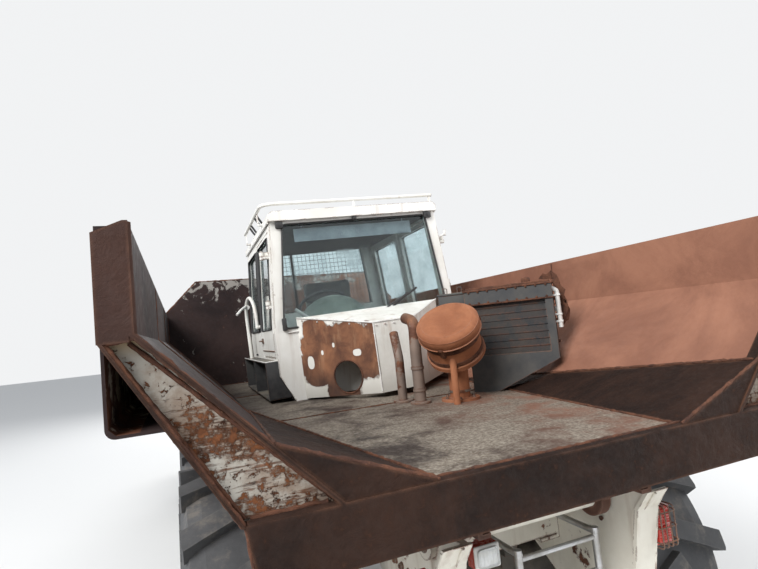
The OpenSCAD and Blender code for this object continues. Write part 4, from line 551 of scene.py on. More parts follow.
shade_pale = make_plain("shade pale", (0.42, 0.46, 0.49), (0.30, 0.33, 0.36), 0.4, 0.0, 8.0, 0.1)
dash_green = make_plain("dash green", (0.30, 0.34, 0.29), (0.20, 0.235, 0.20), 0.35, 0.0, 6.0, 0.15)
seat_cloth = make_seat_cloth()
rail_white = make_painted("rail white", (0.80, 0.79, 0.76), (0.66, 0.64, 0.60), 0.3, 12.0, 0.2, 0.3, 0.003)

DRESS = {
    bed_plate: ["dump_shell", "headboard"],
    tail_plate: ["tail_frame"],
    sill_steel: ["body_sills"],
    drum_rust: ["air_cleaner"],
    cab_white: ["cab_shell", "cab_roof", "cab_door_left", "cab_door_right"],
    peeling_cowl: ["cab_nose"],
    frame_cream: ["rear_frame", "tail_brackets", "front_frame", "hitch", "side_tanks"],
    bonnet_cream: ["bonnet", "fenders"],
    axle_grime: ["bogie_beams", "rear_axles", "drive_shafts", "front_axle"],
    engine_grey: ["engine"],
    deck_dark: ["cab_deck"],
    grille_black: ["grille", "cab_steps"],
    stack_steel: ["exhaust"],
    barrel_paint: ["hoist_barrel_left", "hoist_barrel_right", "steer_barrel_left", "steer_barrel_right"],
    rod_steel: ["hoist_rod_left", "hoist_rod_right", "steer_rod_left", "steer_rod_right"],
    cab_pane: ["cab_glass", "door_pane_left", "door_pane_right"],
    seat_trim: ["cab_seat"],
    radiator_black: ["radiator"],
    red_lens: ["tail_lamps"],
    clear_lens: ["front_lamps"],
    bare_tube: ["tail_ladder"],
}
for axle in ("rear", "mid", "front"):
    for side in ("left", "right"):
        DRESS.setdefault(tyre_rubber, []).append(f"tyre_{axle}_{side}")
        DRESS.setdefault(rim_cream, []).append(f"rim_{axle}_{side}")
for material, names in DRESS.items():
    for name in names:
        nodes[name].data.materials.clear()
        nodes[name].data.materials.append(material)


# ---------------------------------------------------------------- shapes

HERE = Matrix()
MIRROR = Matrix.Diagonal((-1, 1, 1, 1))
# Left side by mirror, right side as written
BOTH = (MIRROR, HERE)


def shift(x, y, z):
    return Matrix.Translation((x, y, z))


def put(name, bm, finish, body, angle=38.0):
    """Ends a bmesh as a named piece that rides a body."""
    bmesh.ops.remove_doubles(bm, verts=bm.verts, dist=1e-5)
    bmesh.ops.recalc_face_normals(bm, faces=bm.faces)
    limit = math.radians(angle)
    for face in bm.faces:
        face.smooth = True
    for edge in bm.edges:
        if len(edge.link_faces) == 2 and edge.calc_face_angle() > limit:
            edge.smooth = False
    mesh = bpy.data.meshes.new(name)
    bm.to_mesh(mesh)
    bm.free()
    mesh.materials.append(finish)
    piece = bpy.data.objects.new(name, mesh)
    scene.collection.objects.link(piece)
    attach(piece, body)
    return piece


def slab(bm, low, high, place=HERE, soften=0.0, steps=2):
    """Block between two corners, its edges rounded by soften."""
    low, high = Vector(low), Vector(high)
    spot = place @ Matrix.Translation((low + high) / 2) @ Matrix.Diagonal((*(high - low), 1.0))
    made = bmesh.ops.create_cube(bm, size=1.0, matrix=spot)["verts"]
    if soften:
        edges = list({edge for vert in made for edge in vert.link_edges})
        bmesh.ops.bevel(bm, geom=edges, offset=soften, segments=steps, profile=0.5, affect="EDGES", material=-1)


def rod(bm, start, end, radius, tip=None, sides=16, place=HERE):
    """Round bar between two points; tip is the radius at its far end."""
    start, end = Vector(start), Vector(end)
    turn = (end - start).to_track_quat("Z", "Y").to_matrix().to_4x4()
    spot = place @ Matrix.Translation((start + end) / 2) @ turn
    far = radius if tip is None else tip
    bmesh.ops.create_cone(bm, cap_ends=True, segments=sides, radius1=radius, radius2=far,
                          depth=(end - start).length, matrix=spot)


def facing(at, toward):
    """Matrix that puts local Z along a direction at a point."""
    return Matrix.Translation(at) @ Vector(toward).to_track_quat("Z", "Y").to_matrix().to_4x4()


def lathe(bm, outline, place=HERE, steps=32):
    """Turns an outline of (radius, height) pairs about the local Z axis."""
    verts = [bm.verts.new(place @ Vector((r, 0.0, z))) for r, z in outline]
    edges = [bm.edges.new(pair) for pair in zip(verts, verts[1:])]
    axis = (place.to_3x3() @ Vector((0, 0, 1))).normalized()
    bmesh.ops.spin(bm, geom=verts + edges, cent=place.translation, axis=axis, angle=math.tau, steps=steps,
                   use_merge=True)


def ring(bm, radius, thick, place=HERE, steps=32, sides=8):
    """Round hoop about the local Z axis."""
    turn = [math.tau * k / sides for k in range(sides + 1)]
    lathe(bm, [(radius + thick * math.cos(t), thick * math.sin(t)) for t in turn], place, steps)


def bent(points, radius, steps=5, closed=False):
    """Path through the points with its corners rounded."""
    points = [Vector(p) for p in points]
    path = [] if closed else [points[0]]
    count = len(points)
    for i in range(0 if closed else 1, count if closed else count - 1):
        before, corner, after = points[i - 1], points[i], points[(i + 1) % count]
        toward, away = (before - corner), (after - corner)
        reach = min(radius / math.tan(toward.angle(away) / 2), toward.length * 0.49, away.length * 0.49)
        start, end = corner + toward.normalized() * reach, corner + away.normalized() * reach
        for k in range(steps + 1):
            t = k / steps
            path.append(start.lerp(corner, t).lerp(corner.lerp(end, t), t))
    return path if closed else path + [points[-1]]


def tube(bm, path, radius, sides=10, place=HERE, flat=1.0, closed=False, across=None):
    """Tube along a path: rings square to it, each bridged to the next."""
    points = [Vector(p) for p in path]
    count = len(points)
    across = Vector(across) if across else (points[1] - points[0]).orthogonal()
    rings = []
    for i, point in enumerate(points):
        before = points[i - 1] if i or closed else point
        after = points[(i + 1) % count] if i + 1 < count or closed else point
        ahead = (after - before).normalized()
        across = (across - ahead * across.dot(ahead)).normalized()
        turn = Matrix((across, ahead.cross(across), ahead)).transposed().to_4x4()
        size = radius[i] if isinstance(radius, list) else radius
        shape = Matrix.Diagonal((size, size * flat, 1.0, 1.0))
        end = not closed and i in (0, count - 1)
        spot = place @ Matrix.Translation(point) @ turn @ shape
        rings.append(bmesh.ops.create_circle(bm, cap_ends=end, segments=sides, radius=1.0, matrix=spot)["verts"])
    for one, two in zip(rings, rings[1:] + (rings[:1] if closed else [])):
        edges = [edge for loop in (one,
                                   two) for edge in {e for v in loop for e in v.link_edges if e.other_vert(v) in loop}]
        bmesh.ops.bridge_loops(bm, edges=edges)


def bead(bm, start, end, size, waver=0.3, pitch=0.014, sides=6, place=HERE):
    """Weld bead or crusted edge: a thin tube that swells and wanders along its line."""
    start, end = Vector(start), Vector(end)
    count = max(int((end - start).length / pitch), 3)
    path, sizes = [], []
    for k in range(count + 1):
        spot = start.lerp(end, k / count)
        path.append(spot + flutter.noise_vector(spot * 31.0) * size * waver * 0.4)
        sizes.append(size * (1.0 + waver * flutter.noise(spot * 67.0) + waver * 0.5 * flutter.noise(spot * 190.0)))
    tube(bm, path, sizes, sides, place)


def bolt(bm, at, toward, size, place=HERE):
    """Hexagon head on a washer, its stud end showing."""
    spot = place @ facing(at, toward)
    for radius, low, high, sides in ((size * 1.15, -0.1, 0.25, 14), (size, 0.25, 0.95, 6),
                                     (size * 0.5, 0.95, 1.25, 10)):
        mid = spot @ Matrix.Translation((0, 0, size * (low + high) / 2))
        bmesh.ops.create_cone(bm, cap_ends=True, segments=sides, radius1=radius, radius2=radius * 0.94,
                              depth=size * (high - low), matrix=mid)


def around(count, radius, height=0.0, start=0.0):
    """Points evenly spaced on a circle about the local Z axis."""
    turns = [math.tau * (k + start) / count for k in range(count)]
    return [(radius * math.cos(t), radius * math.sin(t), height) for t in turns]


def bolt_circle(bm, count, radius, height, size, place, way=1.0, start=0.0):
    """Ring of bolts about the local Z axis, their heads along it toward way."""
    for spot in around(count, radius, height, start):
        bolt(bm, spot, (0, 0, way), size, place)


def band(bm, inner, outer, z, half, chamfer=0.0, place=HERE, steps=32):
    """Raised band about the local Z axis between two radii, centred on a height."""
    outline = [(inner, z - half), (outer, z - half + chamfer), (outer, z + half - chamfer), (inner, z + half)]
    lathe(bm, outline, place, steps)


# ---------------------------------------------------------------- tail and dump body

def make_tail_crust():
    """Corroded lips and weld runs of the tail: flange edges, post, wedge and beam."""
    bm = bmesh.new()
    edge, web, out = TAIL_Y + 0.0135, TAIL_Y + 0.0435, 1.289
    for side in BOTH:
        for start, end, size, waver in (
            ((1.008, edge, 1.722), (out, edge, 2.192), 0.0085, 0.45),
            ((0.762, edge, 1.730), (1.230, edge, 2.212), 0.0088, 0.4),
            ((out, edge, 2.2), (out, edge, 2.44), 0.008, 0.45),
            ((1.236, edge, 2.468), (1.288, edge, 2.447), 0.008, 0.5),
            ((1.230, edge, 2.198), (1.288, edge, 2.194), 0.009, 0.4),
            ((1.2505, TAIL_Y + 0.008, 2.20), (1.2505, TAIL_Y + 0.008, 2.455), 0.0066, 0.4),
            ((0.774, web, 1.734), (1.236, web, 2.188), 0.006, 0.45),
            ((1.002, web, 1.730), (1.285, web, 2.186), 0.006, 0.45),
            ((0.79, web, 1.727), (0.99, web, 1.727), 0.008, 0.5),
            ((0.47, TAIL_Y + 0.03, 1.728), (0.748, TAIL_Y + 2.04, 1.728), 0.006, 0.6),
            ((0.919, TAIL_Y + 0.03, 1.901), (0.753, TAIL_Y + 2.03, 1.731), 0.0065, 0.6),
            ((0.474, TAIL_Y + 0.012, 1.730), (0.916, TAIL_Y + 0.012, 1.901), 0.006, 0.6),
            ((0.985, edge, 1.562), (1.003, edge, 1.716), 0.006, 0.4),
        ):
            bead(bm, start, end, size, waver, place=side)
        for z in (2.246, 2.41):
            slab(bm, (1.293, TAIL_Y + 0.02, z - 0.012), (1.2995, TAIL_Y + 0.05, z + 0.012), side, 0.002)
    bead(bm, (-0.74, TAIL_Y + 0.036, 1.729), (0.74, TAIL_Y + 0.036, 1.729), 0.006, 0.5)
    bead(bm, (-0.98, TAIL_Y + 0.009, 1.563), (0.98, TAIL_Y + 0.009, 1.563), 0.006, 0.4)
    put("tail_crust", bm, crusted, "dump_body", 60)


def make_body_seams():
    """Plate joints of floor, sides and headboard."""
    bm = bmesh.new()
    for y in (TAIL_Y + 1.45, TAIL_Y + 2.9, HEAD_Y - 0.004):
        bead(bm, (-0.745, y, 1.727), (0.745, y, 1.727), 0.0045, 0.4, 0.02)
        for side in BOTH:
            bead(bm, (0.751, y, 1.728), (1.218, y, 2.209), 0.0045, 0.4, 0.02, place=side)
            bead(bm, (1.2205, y, 2.212), (1.2205, y, 2.47), 0.0045, 0.4, 0.02, place=side)
    for side in BOTH:
        bead(bm, (1.2325, TAIL_Y + 0.075, 2.392), (1.2325, HEAD_Y - 0.01, 2.392), 0.0055, 0.4, 0.03, place=side)
        bead(bm, (1.234, TAIL_Y + 0.075, 2.2475), (1.234, HEAD_Y - 0.01, 2.2475), 0.0055, 0.4, 0.03, place=side)
        bead(bm, (1.236, HEAD_Y + 0.004, 2.482), (1.236, HEAD_Y + 0.004, 2.512), 0.006, 0.3, place=side)
        bead(bm, (1.2335, HEAD_Y + 0.006, 2.51), (0.93, HEAD_Y + 0.006, 2.8165), 0.0085, 0.45, place=side)
    bead(bm, (-0.93, HEAD_Y + 0.006, 2.8155), (0.93, HEAD_Y + 0.006, 2.8155), 0.0085, 0.45, 0.02)
    put("body_seams", bm, crusted, "dump_body", 60)


def make_sill_bolts():
    """Under the floor: bolted pads of the sills, bead welds of the cross members."""
    bm = bmesh.new()
    for side in BOTH:
        for y in (0.9, 1.19, 2.05, 2.6, 3.15, 3.7, 4.18):
            for near in (0.004, 0.106):
                bead(bm, (0.35, TAIL_Y + y + near, 1.642), (0.71, TAIL_Y + y + near, 1.642), 0.004, 0.4, 0.03,
                     place=side)
        for y in (0.98, 2.38, 3.38, 4.2):
            for step in (-0.03, 0.03):
                bolt(bm, (0.3455, TAIL_Y + y + step, 1.56), (1, 0, 0), 0.013, side)
        for step in (-0.045, 0.045):
            bolt(bm, (0.3455, HINGE_Y + step * 0.2, HINGE_Z - abs(step) - 0.03 + step * 0.4), (1, 0, 0), 0.008, side)
    put("sill_bolts", bm, bolt_steel, "dump_body")


# ---------------------------------------------------------------- cab

CAB_HALF_WIDTH = 0.688
CAB_WAIST_Z = 0.435
CAB_LEAN = 0.064 / 0.861


def cab_side(z):
    """Half width of the cab at a height above its floor: upright to the waist, leaning in above it."""
    return CAB_HALF_WIDTH - max(z - CAB_WAIST_Z, 0.0) * CAB_LEAN


def on_side(y, z, out=0.0):
    """Point on the cab's left outer face."""
    return (-cab_side(z) - out, y, z)


def screen_corners(z0, z1, in0, in1, y):
    """Corners of a window in the cab's front or back, set in from its sides by in0 below and in1 above."""
    low, high = cab_side(z0) - in0, cab_side(z1) - in1
    return [(-low, y, z0), (low, y, z0), (high, y, z1), (-high, y, z1)]


def make_cab_seals():
    """Black rubber round every pane, with the blocks that clamp the screen."""
    bm = bmesh.new()
    front = bent(screen_corners(0.490, 1.203, 0.062, 0.085, -0.001), 0.035, 4, True)
    tube(bm, front, 0.011, 8, CAB_PLACE, 0.6, True, (0, 1, 0))
    back = bent(screen_corners(0.640, 1.203, 0.15, 0.15, 1.411), 0.03, 4, True)
    tube(bm, back, 0.011, 8, CAB_PLACE, 0.6, True, (0, 1, 0))
    for mirror in BOTH:
        place = CAB_PLACE @ mirror
        quarter = [on_side(y, z, 0.0) for y, z in ((0.765, 0.5), (1.32, 0.5), (1.32, 1.144), (0.765, 1.144))]
        tube(bm, bent(quarter, 0.03, 4, True), 0.011, 8, place, 0.5, True, (1, 0, 0))
        sill = 0.495
        leaning = place @ shift(-cab_side(sill) - 0.0015, 0, sill) @ Matrix.Rotation(math.atan(CAB_LEAN), 4, "Y")
        slab(bm, (-0.0015, 0.712, 0.0), (0.003, 0.752, 1.15 - sill), leaning, 0.001, 1)
    for x, z, wide, tall in ((-0.566, 1.198, 0.052, 0.046), (0.566, 1.198, 0.056, 0.046), (-0.02, 1.212, 0.034, 0.03),
                             (-0.617, 0.52, 0.03, 0.085), (0.617, 0.52, 0.03, 0.085)):
        slab(bm, (x - wide / 2, -0.024, z - tall / 2), (x + wide / 2, 0.001, z + tall / 2), CAB_PLACE, 0.006, 2)
        rod(bm, (x, -0.032, z), (x, -0.02, z), 0.009, sides=10, place=CAB_PLACE)
    put("cab_seals", bm, black_rubber, "dump_body")
    for side, body in (("left", "left_door"), ("right", "right_door")):
        bm = bmesh.new()
        place = CAB_PLACE if side == "left" else CAB_PLACE @ MIRROR
        frame_line = [on_side(y, z, 0.0) for y, z in ((0.126, 0.5), (0.645, 0.5), (0.645, 1.144), (0.126, 1.144))]
        tube(bm, bent(frame_line, 0.03, 4, True), 0.009, 8, place, 0.45, True, (1, 0, 0))
        put(f"door_seal_{side}", bm, black_rubber, body)


def make_wiper():
    """Motor box, arm and blade of the screen wiper."""
    bm = bmesh.new()
    slab(bm, (-0.13, -0.032, 0.463), (0.055, -0.008, 0.487), CAB_PLACE, 0.007, 2)
    rod(bm, (0.010, -0.034, 0.478), (0.010, 0.0, 0.478), 0.016, place=CAB_PLACE)
    tube(bm, bent([(0.010, -0.036, 0.480), (0.16, -0.046, 0.560), (0.30, -0.030, 0.622)], 0.1, 6), 0.006, 8,
         CAB_PLACE)
    tube(bm, [(0.155, -0.022, 0.528), (0.27, -0.026, 0.600), (0.385, -0.022, 0.657)], 0.005, 8, CAB_PLACE, 1.6,
         across=(0, 1, 0))
    slab(bm, (0.288, -0.030, 0.612), (0.312, -0.018, 0.632), CAB_PLACE, 0.003, 1)
    put("screen_wiper", bm, black_rubber, "dump_body")


def make_rear_guard():
    """Wire mesh over the rear window, in a flat frame with one stay."""
    bm = bmesh.new()
    z0, z1, half, y = 0.628, 1.210, 0.53, 1.432
    for k in range(27):
        x = -half + 0.01 + k * (2 * half - 0.02) / 26
        rod(bm, (x, y, z0), (x, y, z1), 0.0018, sides=4, place=CAB_PLACE)
    for k in range(15):
        z = z0 + k * (z1 - z0) / 14
        rod(bm, (-half, y + 0.003, z), (half, y + 0.003, z), 0.0018, sides=4, place=CAB_PLACE)
    for low, high in (((-half, z0 - 0.01), (half, z0 + 0.014)), ((-half, z1 - 0.014), (half, z1 + 0.01)),
                      ((-half - 0.01, z0 - 0.01), (-half + 0.014, z1 + 0.01)),
                      ((half - 0.014, z0 - 0.01), (half + 0.01, z1 + 0.01)),
                      ((-0.232, z0), (-0.208, z1))):
        slab(bm, (low[0], y - 0.006, low[1]), (high[0], y + 0.008, high[1]), CAB_PLACE, 0.002, 1)
    for x in (-half, half):
        for z in (z0 + 0.05, z1 - 0.05):
            rod(bm, (x, 1.405, z), (x, y, z), 0.008, sides=8, place=CAB_PLACE)
    put("rear_guard", bm, dark_wire, "dump_body")


def make_cab_trim():
    """Fittings of the cab: drip rails, mirror stub, roof brackets, step edge and door pulls."""
    bm = bmesh.new()
    for mirror in BOTH:
        place = CAB_PLACE @ mirror
        tube(bm, bent([(-0.640, 0.0, 1.222), (-0.640, 1.40, 1.222)], 0.02), 0.007, 8, place)
        tube(bm, bent([on_side(0.03, 0.47, 0.004), on_side(0.03, 1.20, 0.004)], 0.02), 0.0055, 8, place)
    tube(bm, bent([(-0.60, -0.004, 0.462), (0.60, -0.004, 0.462)], 0.02), 0.006, 8, CAB_PLACE)
    tube(bm, bent([(-0.743, 1.00, 0.735), (-0.800, 0.93, 0.70), (-0.838, 0.90, 0.665)], 0.02), [0.011] * 8, 10,
         CAB_PLACE)
    rod(bm, (-0.735, 0.99, 0.722), (-0.735, 1.03, 0.722), 0.019, sides=12, place=CAB_PLACE)
    rod(bm, (0.640, 0.02, 1.02), (0.712, 0.02, 1.045), 0.009, sides=10, place=CAB_PLACE)
    rod(bm, (0.706, 0.02, 1.032), (0.712, 0.02, 1.075), 0.011, sides=10, place=CAB_PLACE)
    put("cab_trim", bm, rail_white, "dump_body")
    bm = bmesh.new()
    for y in (0.28, 0.62):
        tube(bm, [(-0.672, y, 1.352), (-0.640, y + 0.01, 1.30), (-0.618, y + 0.02, 1.27)], 0.008, 8, CAB_PLACE)
        tube(bm, [(-0.670, y + 0.1, 1.352), (-0.642, y + 0.1, 1.30), (-0.618, y + 0.1, 1.27)], 0.008, 8, CAB_PLACE)
    slab(bm, (-0.694, 1.05, 0.303), (-0.686, 1.13, 0.318), CAB_PLACE, 0.002, 1)
    for k in range(4):
        slab(bm, (-0.697, 1.055 + k * 0.019, 0.305), (-0.692, 1.066 + k * 0.019, 0.316), CAB_PLACE)
    slab(bm, (-0.770, 0.021, 0.036), (-0.612, 0.031, 0.282), CAB_PLACE, 0.004, 2)
    put("cab_brackets", bm, black_rubber, "dump_body")
    bm = bmesh.new()
    for x in (-0.665, -0.628):
        slab(bm, (x - 0.006, 0.0155, 0.19), (x + 0.006, 0.0225, 0.262), CAB_PLACE, 0.003, 2)
    slab(bm, (-0.776, 0.024, 0.283), (-0.60, 0.05, 0.290), CAB_PLACE, 0.002, 1)
    slab(bm, (-0.776, 0.05, 0.283), (-0.768, 1.38, 0.290), CAB_PLACE, 0.002, 1)
    put("step_trim", bm, rail_white, "dump_body")
    for side, body in (("left", "left_door"), ("right", "right_door")):
        bm = bmesh.new()
        place = CAB_PLACE if side == "left" else CAB_PLACE @ MIRROR
        slab(bm, (-0.696, 0.585, 0.405), (-0.687, 0.655, 0.445), place, 0.004, 2)
        tube(bm, bent([(-0.690, 0.60, 0.425), (-0.712, 0.60, 0.425), (-0.712, 0.66, 0.425), (-0.697, 0.668, 0.425)],
                      0.008, 3), 0.006, 8, place)
        slab(bm, (-0.6935, 0.10, 0.345), (-0.687, 0.68, 0.352), place, 0.001, 1)
        put(f"door_pull_{side}", bm, bolt_steel, body)


def make_cab_inside():
    """Sunshade, headlining, dash cover, wheel and levers behind the screen."""
    bm = bmesh.new()
    slab(bm, (-0.46, 0.056, 1.084), (0.443, 0.061, 1.179), CAB_PLACE, 0.002, 1)
    for x in (-0.40, 0.38):
        rod(bm, (x, 0.06, 1.17), (x, 0.06, 1.225), 0.006, sides=8, place=CAB_PLACE)
    put("sunshade", bm, shade_pale, "dump_body")
    bm = bmesh.new()
    half = cab_side(1.2) - 0.045
    slab(bm, (-half, 0.045, 1.196), (half, 1.365, 1.220), CAB_PLACE, 0.008, 2)
    slab(bm, (-0.58, 0.045, 0.042), (0.58, 1.365, 0.050), CAB_PLACE, 0.002, 1)
    for k in range(12):
        slab(bm, (-0.56, 0.10 + k * 0.105, 0.050), (0.56, 0.115 + k * 0.105, 0.054), CAB_PLACE)
    put("cab_lining", bm, lining_dark, "dump_body")
    bm = bmesh.new()
    radius, middle_z, foot_z = 0.30, 0.40, 0.462
    dome = [(radius * math.sin(a), middle_z + radius * math.cos(a)) for a in (0.12 * k for k in range(12))]
    lathe(bm, dome + [(0.292, foot_z), (0.262, foot_z), (0.262, 0.44), (0.0, 0.44)],
          CAB_PLACE @ shift(-0.17, 0.36, 0.0), 48)
    bmesh.ops.bisect_plane(bm, geom=bm.verts[:] + bm.edges[:] + bm.faces[:],
                           plane_co=CAB_PLACE @ Vector((0, 0.06, 0)),
                           plane_no=CAB_PLACE.to_3x3() @ Vector((0, -1, 0)), clear_outer=True)
    bmesh.ops.holes_fill(bm, edges=[e for e in bm.edges if e.is_boundary], sides=0)
    put("dash_cover", bm, dash_green, "dump_body", 30)
    bm = bmesh.new()
    rod(bm, (-0.17, 0.36, 0.05), (-0.17, 0.36, 0.45), 0.058, sides=24, place=CAB_PLACE)
    rod(bm, (-0.17, 0.56, 0.50), (-0.17, 0.64, 0.64), 0.022, sides=16, place=CAB_PLACE)
    wheel = CAB_PLACE @ facing((-0.17, 0.645, 0.65), (0, 0.5, 0.87))
    ring(bm, 0.19, 0.013, wheel, 48, 10)
    for k in range(3):
        a = math.tau * k / 3 + 0.5
        rod(bm, (0.02 * math.cos(a), 0.02 * math.sin(a), 0), (0.185 * math.cos(a), 0.185 * math.sin(a), 0), 0.009,
            sides=10, place=wheel)
    lathe(bm, [(0.0, 0.022), (0.03, 0.018), (0.042, 0.0), (0.042, -0.018), (0.0, -0.02)], wheel, 24)
    slab(bm, (-0.12, 0.76, 0.052), (0.12, 1.0, 0.30), CAB_PLACE, 0.012, 2)
    slab(bm, (-0.21, 0.68, 0.29), (0.21, 1.10, 0.318), CAB_PLACE, 0.01, 2)
    for x in (0.30, 0.36):
        rod(bm, (x, 0.72, 0.05), (x, 0.66, 0.46), 0.009, sides=10, place=CAB_PLACE)
        lathe(bm, [(0, 0.03), (0.02, 0.02), (0.024, 0.0), (0.014, -0.02), (0, -0.024)],
              CAB_PLACE @ shift(x, 0.655, 0.475), 16)
    slab(bm, (0.26, 0.56, 0.05), (0.40, 0.86, 0.20), CAB_PLACE, 0.012, 2)
    for x in (-0.30, -0.10, 0.02):
        slab(bm, (x - 0.04, 0.30, 0.11), (x + 0.04, 0.32, 0.20), CAB_PLACE, 0.005, 1)
        rod(bm, (x, 0.31, 0.05), (x, 0.31, 0.13), 0.01, sides=8, place=CAB_PLACE)
    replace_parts(put("cab_controls", bm, seat_trim, "dump_body"), "cab_seat")
    bm = bmesh.new()
    rod(bm, (-0.36, 1.30, 1.18), (-0.39, 1.33, 0.72), 0.009, sides=10, place=CAB_PLACE)
    tube(bm, bent([(-0.50, 0.16, 0.62), (-0.36, 0.14, 0.50), (-0.28, 0.10, 0.44)], 0.03), 0.012, 10, CAB_PLACE)
    put("cab_stays", bm, rail_white, "dump_body")


def cushion(name, low, high, crown, seams):
    """Crowned foam pad: sides drawn in between its corners, sewn channels across it."""
    low, high = Vector(low), Vector(high)
    mid, half = (low + high) / 2, (high - low) / 2
    thin = min(range(3), key=lambda i: half[i])
    along = 1 if thin == 2 else 2
    bm = bmesh.new()
    bmesh.ops.create_cube(bm, size=2.0)
    bmesh.ops.subdivide_edges(bm, edges=bm.edges[:], cuts=23, use_grid_fill=True)
    for vert in bm.verts:
        p = vert.co
        a, b = [i for i in range(3) if i != thin]
        edge = (1 - p[a] ** 4) * (1 - p[b] ** 4)
        p[thin] *= 0.62 + 0.38 * edge ** 0.5 + crown * edge
        for one, other in ((a, b), (b, a)):
            p[one] *= 1.0 - 0.035 * (1 - p[other] ** 2) * abs(p[one])
        for line in seams:
            groove = math.exp(-((p[along] - line) / 0.035) ** 2)
            p[thin] *= 1.0 - 0.16 * groove * (abs(p[a if along == b else b]) < 0.93)
        ball = p.normalized() * 1.25
        corner = max(sum(abs(v) > 0.86 for v in p) - 1, 0) * 0.10
        vert.co = CAB_PLACE @ (mid + Vector(half[i] * (p[i] * (1 - corner) + ball[i] * corner * 0.8) for i in range(3)))
    piece = put(name, bm, seat_cloth, "dump_body", 70)
    return piece


def make_seat():
    """Seat cushion and back, in place of the plain seat."""
    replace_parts(cushion("seat_cushion", (-0.225, 0.665, 0.315), (0.225, 1.095, 0.398), 0.12, (-0.5, 0.0, 0.5)),
                "cab_seat")
    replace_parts(cushion("seat_back", (-0.215, 1.045, 0.405), (0.215, 1.135, 0.875), 0.12, (-0.5, 0.0, 0.5)),
                "cab_seat")


def make_cowl_trim():
    """Rolled rim of the round opening, folded top lip and screws of the cowl."""
    bm = bmesh.new()
    normal = Vector((-0.738, -0.674, 0))
    ring(bm, 0.106, 0.0055, CAB_PLACE @ facing(Vector((-0.297, -0.258, 0.128)) + normal * 0.001, normal), 48, 8)
    put("cowl_rim", bm, crusted, "dump_body")
    bm = bmesh.new()
    for start, end in (((-0.533, -0.004, 0.553), (-0.14, -0.43, 0.451)),
                       ((-0.14, -0.43, 0.451), (0.14, -0.43, 0.451)),
                       ((0.14, -0.43, 0.451), (0.533, -0.004, 0.553))):
        bead(bm, start, end, 0.0055, 0.15, place=CAB_PLACE)
    for start, end in (((-0.14, -0.43, 0.02), (-0.14, -0.43, 0.45)), ((0.14, -0.43, 0.02), (0.14, -0.43, 0.45))):
        bead(bm, start, end, 0.0045, 0.15, place=CAB_PLACE)
    for k in range(5):
        t = 0.08 + 0.21 * k
        bolt(bm, Vector((-0.533 + t * 0.393, -t * 0.426, 0.535 - t * 0.10)) + normal * 0.001, normal, 0.006,
             CAB_PLACE)
        bolt(bm, (-0.12 + 0.06 * k, -0.4305, 0.43), (0, -1, 0), 0.006, CAB_PLACE)
    put("cowl_lip", bm, rail_white, "dump_body")


# ---------------------------------------------------------------- air cleaner and radiator

DRUM = (shift(0.197, TAIL_Y + 1.110, 2.167) @ Matrix.Rotation(math.radians(-44.7), 4, "Z")
        @ Matrix.Rotation(math.radians(38), 4, "X"))
RADIATOR = shift(0.470, TAIL_Y + 1.360, 1.7263) @ Matrix.Rotation(math.radians(-42.6), 4, "Z")


INTAKE_AT = (0.09, TAIL_Y + 1.30)
SPARE_PIPE_AT = (0.045, TAIL_Y + 1.44)
DRUM_FOOT_AT = (0.29, TAIL_Y + 1.21)


def make_drum_parts():
    """Pressed lid with its rounded shoulder, clamp bands, foot and standing pipes of the air cleaner."""
    bm = bmesh.new()
    lathe(bm, [(0.0, 0.0045), (0.09, 0.0035), (0.128, 0.001), (0.150, -0.0035), (0.1635, -0.012), (0.1695, -0.024),
               (0.1715, -0.036), (0.1715, -0.066), (0.166, -0.071), (0.152, -0.072)], DRUM, 64)
    ring(bm, 0.1705, 0.0045, DRUM @ shift(0, 0, -0.070), 64, 8)
    put("cleaner_lid", bm, drum_rust, "dump_body", 50)
    bm = bmesh.new()
    for z in (-0.105, -0.19):
        band(bm, 0.1505, 0.1545, z, 0.012, 0.001, DRUM, 48)
    for turn in (0.4, 2.5, 4.6):
        latch = DRUM @ Matrix.Rotation(turn, 4, "Z")
        slab(bm, (0.150, -0.014, -0.125), (0.166, 0.014, -0.050), latch, 0.004, 2)
        loop = [(0.166, -0.012, -0.115), (0.176, -0.012, -0.058), (0.176, 0.012, -0.058), (0.166, 0.012, -0.115)]
        tube(bm, bent(loop, 0.006, 3), 0.0025, 6, latch)
    put("cleaner_band", bm, crusted, "dump_body")
    bm = bmesh.new()
    intake = [(*INTAKE_AT, 1.735), (*INTAKE_AT, 2.02), (0.11, TAIL_Y + 1.33, 2.18), (0.12, TAIL_Y + 1.46, 2.20)]
    spare = [(*SPARE_PIPE_AT, 1.735), (*SPARE_PIPE_AT, 1.98), (0.06, TAIL_Y + 1.52, 2.12)]
    for path, radius in ((intake, 0.032), (spare, 0.026)):
        tube(bm, bent(path, 0.11, 7), radius, 20)
    for z in (1.80, 1.92):
        band(bm, 0.032, 0.0365, 0.0, 0.008, 0.0, shift(*INTAKE_AT, z), 24)
    for at in (INTAKE_AT, SPARE_PIPE_AT):
        flange = [(0.0, 0.012), (0.055, 0.012), (0.058, 0.008), (0.058, 0.0), (0.0, 0.0)]
        lathe(bm, flange, shift(*at, 1.7268), 28)
    put("intake_pipes", bm, stack_steel, "dump_body", 30)
    bm = bmesh.new()
    for z in (1.7765, 1.9665):
        band(bm, 0.054, 0.0595, 0.0, 0.007, 0.0, shift(*DRUM_FOOT_AT, z), 28)
    bolt_circle(bm, 6, 0.083, 0.0, 0.009, shift(*DRUM_FOOT_AT, 1.7405))
    put("cleaner_foot", bm, bolt_steel, "dump_body")


